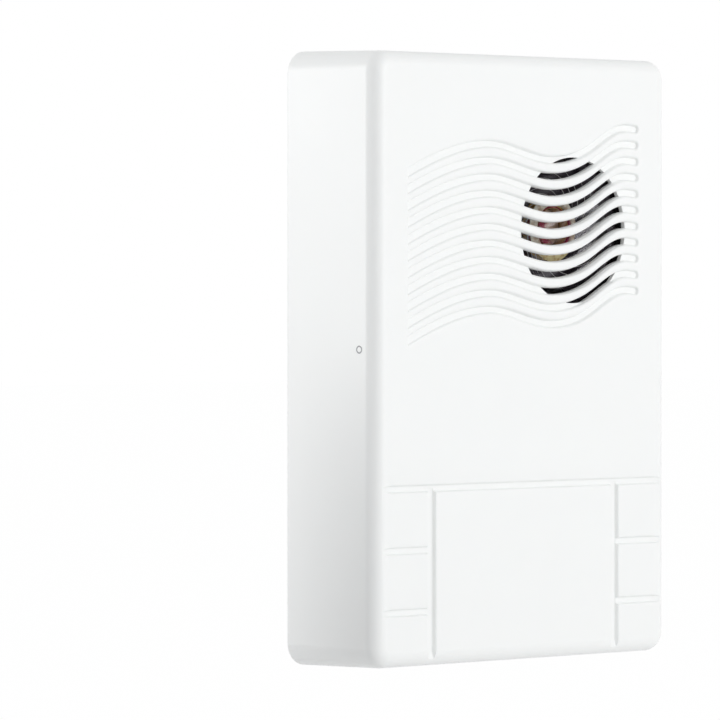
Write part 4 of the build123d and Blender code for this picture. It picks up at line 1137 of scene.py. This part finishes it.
def screw_shape(radius, reach, head, head_height):
    """A pan-head screw with a slot and a turned thread, seat at level zero."""
    pitch, core = 0.7 * MM, radius * 0.8
    slot_half, slot_depth = 0.3 * MM, 0.7 * MM
    profile = [(0, -reach), (radius * 0.5, -reach + 0.3 * MM)]
    for i in range(int((reach - 0.6 * MM) / pitch)):
        level = -reach + 0.5 * MM + i * pitch
        profile += [(core, level), (radius, level + 0.45 * pitch), (core, level + 0.9 * pitch)]
    soft = 0.5 * head_height
    profile += [(core, 0), (head * 0.95, 0), (head, 0.08 * MM),
                *arc_points((head - soft, soft), soft, 0, 90, 5), (0, head_height)]
    shape = from_bmesh("screw", lathe(profile, sides=40), upright=False)
    slot = box_bmesh((-1.1 * head, -slot_half, head_height - slot_depth),
                     (1.1 * head, slot_half, head_height + MM))
    cut(shape, from_bmesh("slot", slot, upright=False))
    return shape


def solid_places(node):
    """Centres across and up the wall of a node's separate solids, from its loose pieces."""
    bm = opened(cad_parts[node].data, weld=True)
    left = set(bm.verts)
    places = []
    while left:
        stack, found = [left.pop()], []
        while stack:
            vert = stack.pop()
            found.append((LAY_FLAT @ vert.co).xy)
            near = {edge.other_vert(vert) for edge in vert.link_edges} & left
            left -= near
            stack += near
        places.append(tuple((min(side) + max(side)) / 2 for side in zip(*found)))
    bm.free()
    return sorted(places)


class CHIME_OT_screws(bpy.types.Operator):
    """Drive the screws and lay the speaker's washers"""

    bl_idname = "chime.screws"
    bl_label = "Screws and washers"

    def execute(self, context):
        zinc = plated_metal("bright_zinc_plate", "#c8cacc", 0.28, 0.05)
        # Radius, head radius and head height in millimetres, and the most that a slot is turned.
        for node, radius, head, head_height, turn in (
                ("board_screws", 1.1, 2.1, 1.4, pi), ("speaker_screws", 1.1, 2.2, 1.3, pi),
                ("terminal_screws", 1.05, 1.65, 1.3, 0.0)):
            low, high = wall_box(node)
            seat = high.z - head_height * MM
            shape = screw_shape(radius * MM, seat - low.z, head * MM, head_height * MM)
            places = [(x, y, seat) for x, y in solid_places(node)]
            screws = scattered("driven_" + node, shape, places, zinc, turn, seed=7)
            place_piece(screws, "base", "plated_screw", zinc, node)
        low, high = wall_box("speaker_washers")
        edge, outer, inner, thick = 0.08 * MM, 3.0 * MM, 1.25 * MM, high.z - low.z
        shape = from_bmesh("washer", lathe([
            (inner, 0), (outer - edge, 0), (outer, edge), (outer, thick - edge),
            (outer - edge, thick), (inner + edge, thick), (inner, thick - edge), (inner, 0),
        ], sides=48), upright=False)
        places = [(x, y, low.z) for x, y in solid_places("speaker_washers")]
        washers = scattered("pressed_washers", shape, places, zinc)
        place_piece(washers, "base", "plated_screw", zinc, "speaker_washers")
        return {"FINISHED"}


class CHIME_OT_speaker_frame(bpy.types.Operator):
    """Finish the basket, magnet, yoke, pole plate and tags"""

    bl_idname = "chime.speaker_frame"
    bl_label = "Speaker frame"

    def execute(self, context):
        # Black dip paint on pressed steel: a purple-black satin with a slight orange peel.
        dip = coating("black_dipped_steel", ("#2b262c", "#3a343b"), (5 * MM, 2.0), {
            "Roughness": 0.35, "IOR": 1.5, "Coat Weight": 0.3, "Coat Roughness": 0.2,
        }, skin=(0.9 * MM, 2.0), relief=0.03 * MM)
        tinsel_low, tinsel_high = wall_box("tinsel_leads")
        for row in (
            ("speaker_basket", "pressed_basket", 0.15, 3, "basket_paint", dip),
            ("speaker_gasket", "foam_gasket", 0.25, 3, "gasket_foam", open_foam()),
            ("pole_plate", "turned_pole_plate", 0.15, 3, "pole_steel",
             plated_metal("turned_pole_steel", "#ead9bd", 0.42, 0.1, bare=0.2)),
            ("speaker_magnet", "pressed_magnet", 0.2, 3, "ferrite",
             dull_plastic("pressed_ferrite", "#3b3a3c", 0.7, 0.25, 0.03)),
            ("yoke_cup", "drawn_yoke", 0.3, 3, "yoke_zinc", plated_metal(
                "yellow_zinc_plate", context.scene.chime_finishes.yoke, 0.32, 0.12)),
            ("tag_board", "punched_tag_board", 0.08, 3, "tag_laminate",
             dull_plastic("punched_laminate", "#8a5a2b", 0.5)),
            ("speaker_tags", "pressed_tags", 0.05, 3, "tinned_wire",
             plated_metal("tinned_brass_tag", "#cfcdc6", 0.28, 0.06)),
            ("tinsel_leads", "braided_tinsel_leads", 0, 0, "copper_tinsel",
             plated_metal("braided_copper_tinsel", "#c98a5a", 0.35, 0.1, 0.2),
             (tinsel_high.z, tinsel_low.z)),
        ):
            soften_piece(*row)
        return {"FINISHED"}


def cone_level(sizes, radius):
    """Level of the cone's film at a radius, on the straight line from coil to outer edge."""
    share = (radius - coil_radius) / (sizes.film_radius - coil_radius)
    return sizes.neck_level + (film_edge_level - sizes.neck_level) * share


def film_sheet(name, line, thick, body, material, node):
    """Place a film turned from a line of (radius, level) points and thickened forwards."""
    start = line[:1] if line[0][0] else []
    line += [(r, z + thick) for r, z in line[::-1]] + start
    make_piece(name, lathe(line, (*speaker_at.xy, 0), sides=128), body, "clear_film", material,
               node, sharp=60)


def crease_ridges(sizes):
    """Thin swirled folds pressed into the cone, each a low ridge on the film."""
    bm = bmesh.new()
    random.seed(11)
    half, height, sunk, steps = 0.08 * MM, 0.07 * MM, 0.01 * MM, 14
    start_radius = coil_radius + 2.1 * MM
    run = sizes.film_radius - 0.3 * MM - start_radius
    for k in range(sizes.creases):
        start = 2 * pi * k / sizes.creases + random.uniform(-0.05, 0.05)
        sweep = radians(62) + random.uniform(-0.1, 0.1)
        rows = []
        for i in range(steps + 1):
            share = i / steps
            radius = start_radius + run * share
            turn = start + sweep * share
            level = cone_level(sizes, radius) + sizes.film
            along = Vector((cos(turn), sin(turn)))
            across = Vector((-sin(turn), cos(turn)))
            tangent = (across * radius * sweep + along * run).normalized()
            width = half * (0.3 + sin(pi * min(1, share * 1.1)) * 0.7)
            side = Vector((-tangent.y, tangent.x)) * width
            centre = along * radius + speaker_at.xy
            rows.append([bm.verts.new((*(centre + offset), level + lift)) for offset, lift in (
                (-side, -sunk), (Vector((0, 0)), height), (side, -sunk))])
        stitch(bm, rows)
        bm.faces.new(rows[0])
        bm.faces.new(rows[-1][::-1])
    return bm


def voice_winding(sizes, enamel):
    """One visible layer of close turns over a core that stands for the inner layers."""
    half, inner = sizes.wire / 2, 4.77 * MM
    tall, core = coil_high.z - coil_low.z, coil_radius - half
    layer = wound({
        "Resolution": 56, "Rotations": tall / sizes.wire - 1, "Start Radius": core,
        "End Radius": core, "Height": tall - sizes.wire, "Wire Radius": half, "Sides": 6,
        "Material": enamel})
    low, high = coil_low.z + half, coil_high.z - half
    return join_bmeshes(moved(layer, (*speaker_at.xy, low)), lathe(
        [(inner, low), (core, low), (core, high), (inner, high), (inner, low)],
        (*speaker_at.xy, 0)))


def cement_bead(sizes):
    """A hand-laid bead of cement on the film round the coil, uneven in width."""
    bm = bmesh.new()
    random.seed(23)
    waves = [(random.randint(2, 9), random.uniform(0, 2 * pi)) for _ in range(5)]
    reach, sides = 2.05 * MM, 96
    rings = []
    # Share of the reach out from the coil, height in millimetres.
    for share, height in ((0.02, 0.0), (0.1, 0.32), (0.35, 0.5), (0.65, 0.42), (0.9, 0.2),
                          (1.0, 0.02), (0.95, -0.05), (0.05, -0.05)):
        ring = []
        for i in range(sides):
            turn = 2 * pi * i / sides
            uneven = sum(sin(n * turn + phase) for n, phase in waves) / 12
            radius = coil_radius + reach * share * (1.1 - 0.4 * cos(turn) + 0.3 * uneven)
            ring.append(bm.verts.new((
                speaker_at.x + radius * cos(turn), speaker_at.y + radius * sin(turn),
                cone_level(sizes, radius) + sizes.film + height * MM)))
        rings.append(ring)
    stitch(bm, rings + [rings[0]])
    return bm


class CHIME_OT_speaker_cone(bpy.types.Operator):
    """Draw the clear film, wind the coil and lay its cement"""

    bl_idname = "chime.speaker_cone"
    bl_label = "Cone and coil"

    def execute(self, context):
        sizes = context.scene.chime_speaker
        film = clear_film()
        dome_steps, roll_steps = 10, 14
        turns = [pi / 2 * i / dome_steps for i in range(dome_steps + 1)]
        dome = [(coil_radius * sin(a), sizes.neck_level + sizes.dome_height * cos(a))
                for a in turns]
        film_sheet("drawn_cone_film", dome + [(sizes.film_radius, film_edge_level)], sizes.film,
                   "cone", film, "speaker_cone")
        roll_in, roll_out, crown, rim = 13.8 * MM, 17.2 * MM, 1.3 * MM, 1.5 * MM
        flat_level = wall_box("speaker_gasket")[0].z - sizes.film
        roll = [(roll_in + share * (roll_out - roll_in), film_edge_level
                 + (flat_level - film_edge_level) * share + crown * sin(pi * share))
                for share in (i / roll_steps for i in range(roll_steps + 1))]
        film_sheet("drawn_surround_film", roll + [(roll_out + rim, flat_level)], sizes.film,
                   (film_edge_level, flat_level), film, "speaker_surround")
        # The creases carry white painted glints along the film's folds.
        make_piece("film_creases", crease_ridges(sizes), "cone", "clear_film", crease_film(),
                   sharp=70)
        # Copper wire in red enamel, wound in close turns: dark between turns, glossy on them.
        colour = context.scene.chime_finishes.coil
        enamel = coating("red_enamelled_copper", (shade(colour, -0.25), shade(colour, 0.15)),
                         (1.5 * MM, 2.0), {"Metallic": 0.35, "Roughness": 0.28,
                                           "Coat Weight": 0.6, "Coat Roughness": 0.12})
        make_piece("wound_voice_coil", voice_winding(sizes, enamel), "cone", "red_enamel_wire",
                   enamel, "voice_coil", sharp=60)
        # Amber polyimide film, rolled and glued: see-through gold at its edge.
        amber = coating("rolled_amber_film", ("#dfae66", "#f5d696"), (0.8 * MM, 2.0), {
            "Roughness": 0.22, "IOR": 1.7, "Transmission Weight": 0.25})
        soften_piece("coil_former", "rolled_former", 0.03, 1, "former_film", amber, "cone")
        make_piece("cement_bead", cement_bead(sizes), "cone", "cream_cement", dried_cement(),
                   "cone_glue", sharp=80)
        return {"FINISHED"}


BOARD_END = 10.3  # levels and places of the leads, in millimetres, as the case is built
TAB_LEVEL = 15.8
TAB_X = -28.92
TAG_LEVEL = 13.8
TAG_X = 3.3
LEAD_ROUTES = {
    "battery_lead_black": [
        (-16.0, 13.0, BOARD_END), (-16.0, 6.5, BOARD_END), (-18.6, -4.0, 8.2),
        (-25.6, -15.6, 6.8), (-32.2, -23.6, 9.0), (-35.6, -28.6, 12.2), (-35.8, -33.0, 14.6),
        (-33.0, -35.75, TAB_LEVEL), (TAB_X, -35.75, TAB_LEVEL),
    ],
    "battery_lead_red": [
        (-19.0, 13.0, BOARD_END), (-19.0, 6.0, BOARD_END), (-21.8, -4.5, 7.6),
        (-28.8, -15.5, 5.9), (-35.0, -26.5, 6.3), (-37.6, -38.5, 9.4), (-36.8, -46.8, 13.6),
        (-33.6, -51.25, TAB_LEVEL), (TAB_X, -51.25, TAB_LEVEL),
    ],
    "speaker_lead_red": [
        (-11.0, 31.0, BOARD_END), (-7.6, 31.0, BOARD_END), (-3.6, 32.0, 9.0),
        (-0.2, 32.06, TAG_LEVEL), (TAG_X, 32.06, TAG_LEVEL),
    ],
    "speaker_lead_black": [
        (-11.0, 27.0, BOARD_END), (-7.2, 27.0, BOARD_END), (-3.4, 25.9, 8.8),
        (-0.4, 26.06, TAG_LEVEL), (TAG_X, 26.06, TAG_LEVEL),
    ],
}


def lead_tube(name, route, radius):
    """A smooth round lead through its given route."""
    curve = bpy.data.curves.new(name, "CURVE")
    curve.dimensions = "3D"
    spline = curve.splines.new("NURBS")
    spline.points.add(len(route) - 1)
    for point, place in zip(spline.points, route):
        point.co = (*(STAND_UP @ (Vector(place) * MM)), 1)
    spline.order_u = 3
    spline.use_endpoint_u = True
    spline.resolution_u = 12
    curve.bevel_depth = radius
    curve.bevel_resolution = 5
    curve.use_fill_caps = True
    holder = as_object(name + "_line", curve)
    bm = opened(evaluated_mesh(holder), weld=True)
    bpy.data.objects.remove(holder)
    return finish_mesh(from_bmesh(name, bm, upright=False), 50)


class CHIME_OT_leads(bpy.types.Operator):
    """Run the insulated leads from the board to the cells and the speaker"""

    bl_idname = "chime.leads"
    bl_label = "Leads"

    def execute(self, context):
        skins = {name: dull_plastic(f"extruded_{name}_vinyl", colour, 0.42, 0.8)
                 for name, colour in (("red", "#b3201f"), ("black", "#232325"))}
        for node, route in LEAD_ROUTES.items():
            colour = node.split("_")[-1]
            lead = lead_tube("insulated_" + node, route, 0.65 * MM)
            place_piece(lead, "base", colour + "_insulation", skins[colour], node)
        return {"FINISHED"}


def seen_rays(tree):
    """One for rays that show what they meet: straight, in a reflection or through film."""
    path = add(tree, "ShaderNodeLightPath").outputs
    return chained(tree, "MAXIMUM", *[path[f"Is {kind} Ray"] for kind in (
        "Camera", "Glossy", "Transmission")])


def backdrop_material(name, colour):
    """Painted studio board: plain and matt. Seen by the camera it is white, less its shade,
    and from below it isn't seen."""
    material, tree = new_material(name)
    tint = ramp(tree, object_noise(tree, 120 * MM), (0.3, shade(colour, -0.01)), (0.7, colour))
    matt = add(tree, "ShaderNodeBsdfPrincipled", {
        "Base Color": tint, "Roughness": 0.9, "Specular IOR Level": 0.2})
    glow = add(tree, "ShaderNodeEmission", {"Color": (1, 1, 1, 1), "Strength": 1.02})
    painted = add(tree, "ShaderNodeMixShader", {
        0: chained(tree, "MULTIPLY", seen_rays(tree), 0.94), 1: matt, 2: glow})
    return ended(material, add(tree, "ShaderNodeMixShader", {
        0: add(tree, "ShaderNodeNewGeometry").outputs["Backfacing"], 1: painted,
        2: add(tree, "ShaderNodeBsdfTransparent")}))


def upright_card(name, start, stop, low, high):
    """A thin standing card between two places on the floor."""
    start, stop = Vector(start), Vector(stop)
    side = (stop - start).normalized().orthogonal() * MM
    return from_bmesh(name, prism([start, stop, stop + side, start + side], low, high),
                      upright=False)


def lamp(name, place, aim, width, height, power):
    """An area lamp at a place, turned to face its aim."""
    data = bpy.data.lights.new(name, "AREA")
    data.shape = "RECTANGLE"
    data.size = width
    data.size_y = height
    data.energy = power
    obj = as_object(name, data)
    obj.location = place
    obj.rotation_euler = (Vector(aim) - Vector(place)).to_track_quat("-Z", "Y").to_euler()


class CHIME_OT_stage(bpy.types.Operator):
    """Set the camera, the lamps, the even fill and the floor"""

    bl_idname = "chime.stage"
    bl_label = "Stage"

    def execute(self, context):
        scene = context.scene
        sizes = scene.chime_stage
        scene.view_settings.view_transform = "Standard"
        data = bpy.data.cameras.new("camera")
        data.sensor_width = 36
        data.lens = sizes.focal
        data.clip_end = 50
        scene.camera = as_object("camera", data)
        scene.camera.location = sizes.camera_at
        scene.camera.rotation_euler = (pi / 2 - sizes.tilt, 0, -sizes.turn)
        scene.world = bpy.data.worlds.new("studio")
        scene.world.use_nodes = True
        tree = scene.world.node_tree
        tree.nodes.clear()
        white = add(tree, "ShaderNodeBackground", {"Color": (1, 1, 1, 1), "Strength": 1.0})
        even = add(tree, "ShaderNodeBackground", {
            "Color": linear("#fdfeff"), "Strength": sizes.fill})
        add(tree, "ShaderNodeOutputWorld", {"Surface": add(tree, "ShaderNodeMixShader", {
            0: seen_rays(tree), 1: even, 2: white})})
        centre = (cad_bounds[0] + cad_bounds[1]) / 2
        lamp("right_lamp", centre + Vector((0.36, -1.04, 0.22)), centre, 0.7, 0.7, sizes.right_lamp)
        lamp("left_lamp", (-0.41, 0.34, 0.09), (-0.046, -0.014, 0), 0.09, 0.3, sizes.left_lamp)
        # Grey paper card with short fibres; it keeps the low part of the side a little darker.
        card = coating("grey_flag_card", ("#4a4a4c", "#57575a"), (2 * MM, 3.0),
                       {"Roughness": 0.9})
        flag = upright_card("flag_card", (-0.1288, 0.0641), (-0.205, -0.015),
                            sizes.floor_level, -0.008)
        flag.data.materials.append(card)
        flag.visible_camera = False
        bm = bmesh.new()
        bmesh.ops.create_grid(bm, x_segments=12, y_segments=12, size=6.0)
        floor = from_bmesh("floor", moved(bm, (0, 0, sizes.floor_level)), upright=False)
        if floor.data.polygons[0].normal.z < 0:
            floor.data.flip_normals()
        floor.data.materials.append(backdrop_material("painted_floor", "#f6f6f6"))
        return {"FINISHED"}


OPERATORS = (
    CHIME_OT_stage, CHIME_OT_cover, CHIME_OT_numeral, CHIME_OT_base_plate, CHIME_OT_cells,
    CHIME_OT_springs, CHIME_OT_board, CHIME_OT_components, CHIME_OT_screws,
    CHIME_OT_speaker_frame, CHIME_OT_speaker_cone, CHIME_OT_leads,
)
SETTINGS = {
    "chime_case": ChimeCaseSizes,
    "chime_grille": ChimeGrilleSizes,
    "chime_speaker": ChimeSpeakerSizes,
    "chime_finishes": ChimeFinishes,
    "chime_stage": ChimeStageSizes,
}


class CHIME_PT_panel(bpy.types.Panel):
    """Lists the pieces in the order they are made"""

    bl_idname = "CHIME_PT_panel"
    bl_label = "Chime box"
    bl_space_type = "VIEW_3D"
    bl_region_type = "UI"
    bl_category = "Chime"

    def draw(self, context):
        for operator in OPERATORS:
            self.layout.operator(operator.bl_idname)
        for name, group in SETTINGS.items():
            box = self.layout.box()
            for prop in group.__annotations__:
                box.prop(getattr(context.scene, name), prop)


def register():
    for group in SETTINGS.values():
        bpy.utils.register_class(group)
    for cls in (*OPERATORS, CHIME_PT_panel):
        bpy.utils.register_class(cls)
    for name, group in SETTINGS.items():
        setattr(bpy.types.Scene, name, PointerProperty(type=group))


def unregister():
    for name in SETTINGS:
        delattr(bpy.types.Scene, name)
    for cls in (CHIME_PT_panel, *reversed(OPERATORS)):
        bpy.utils.unregister_class(cls)
    for group in SETTINGS.values():
        bpy.utils.unregister_class(group)


def main():
    register()
    for operator in OPERATORS:
        group, name = operator.bl_idname.split(".")
        getattr(getattr(bpy.ops, group), name)()
    bpy.context.view_layer.update()


if __name__ == "__main__":
    main()
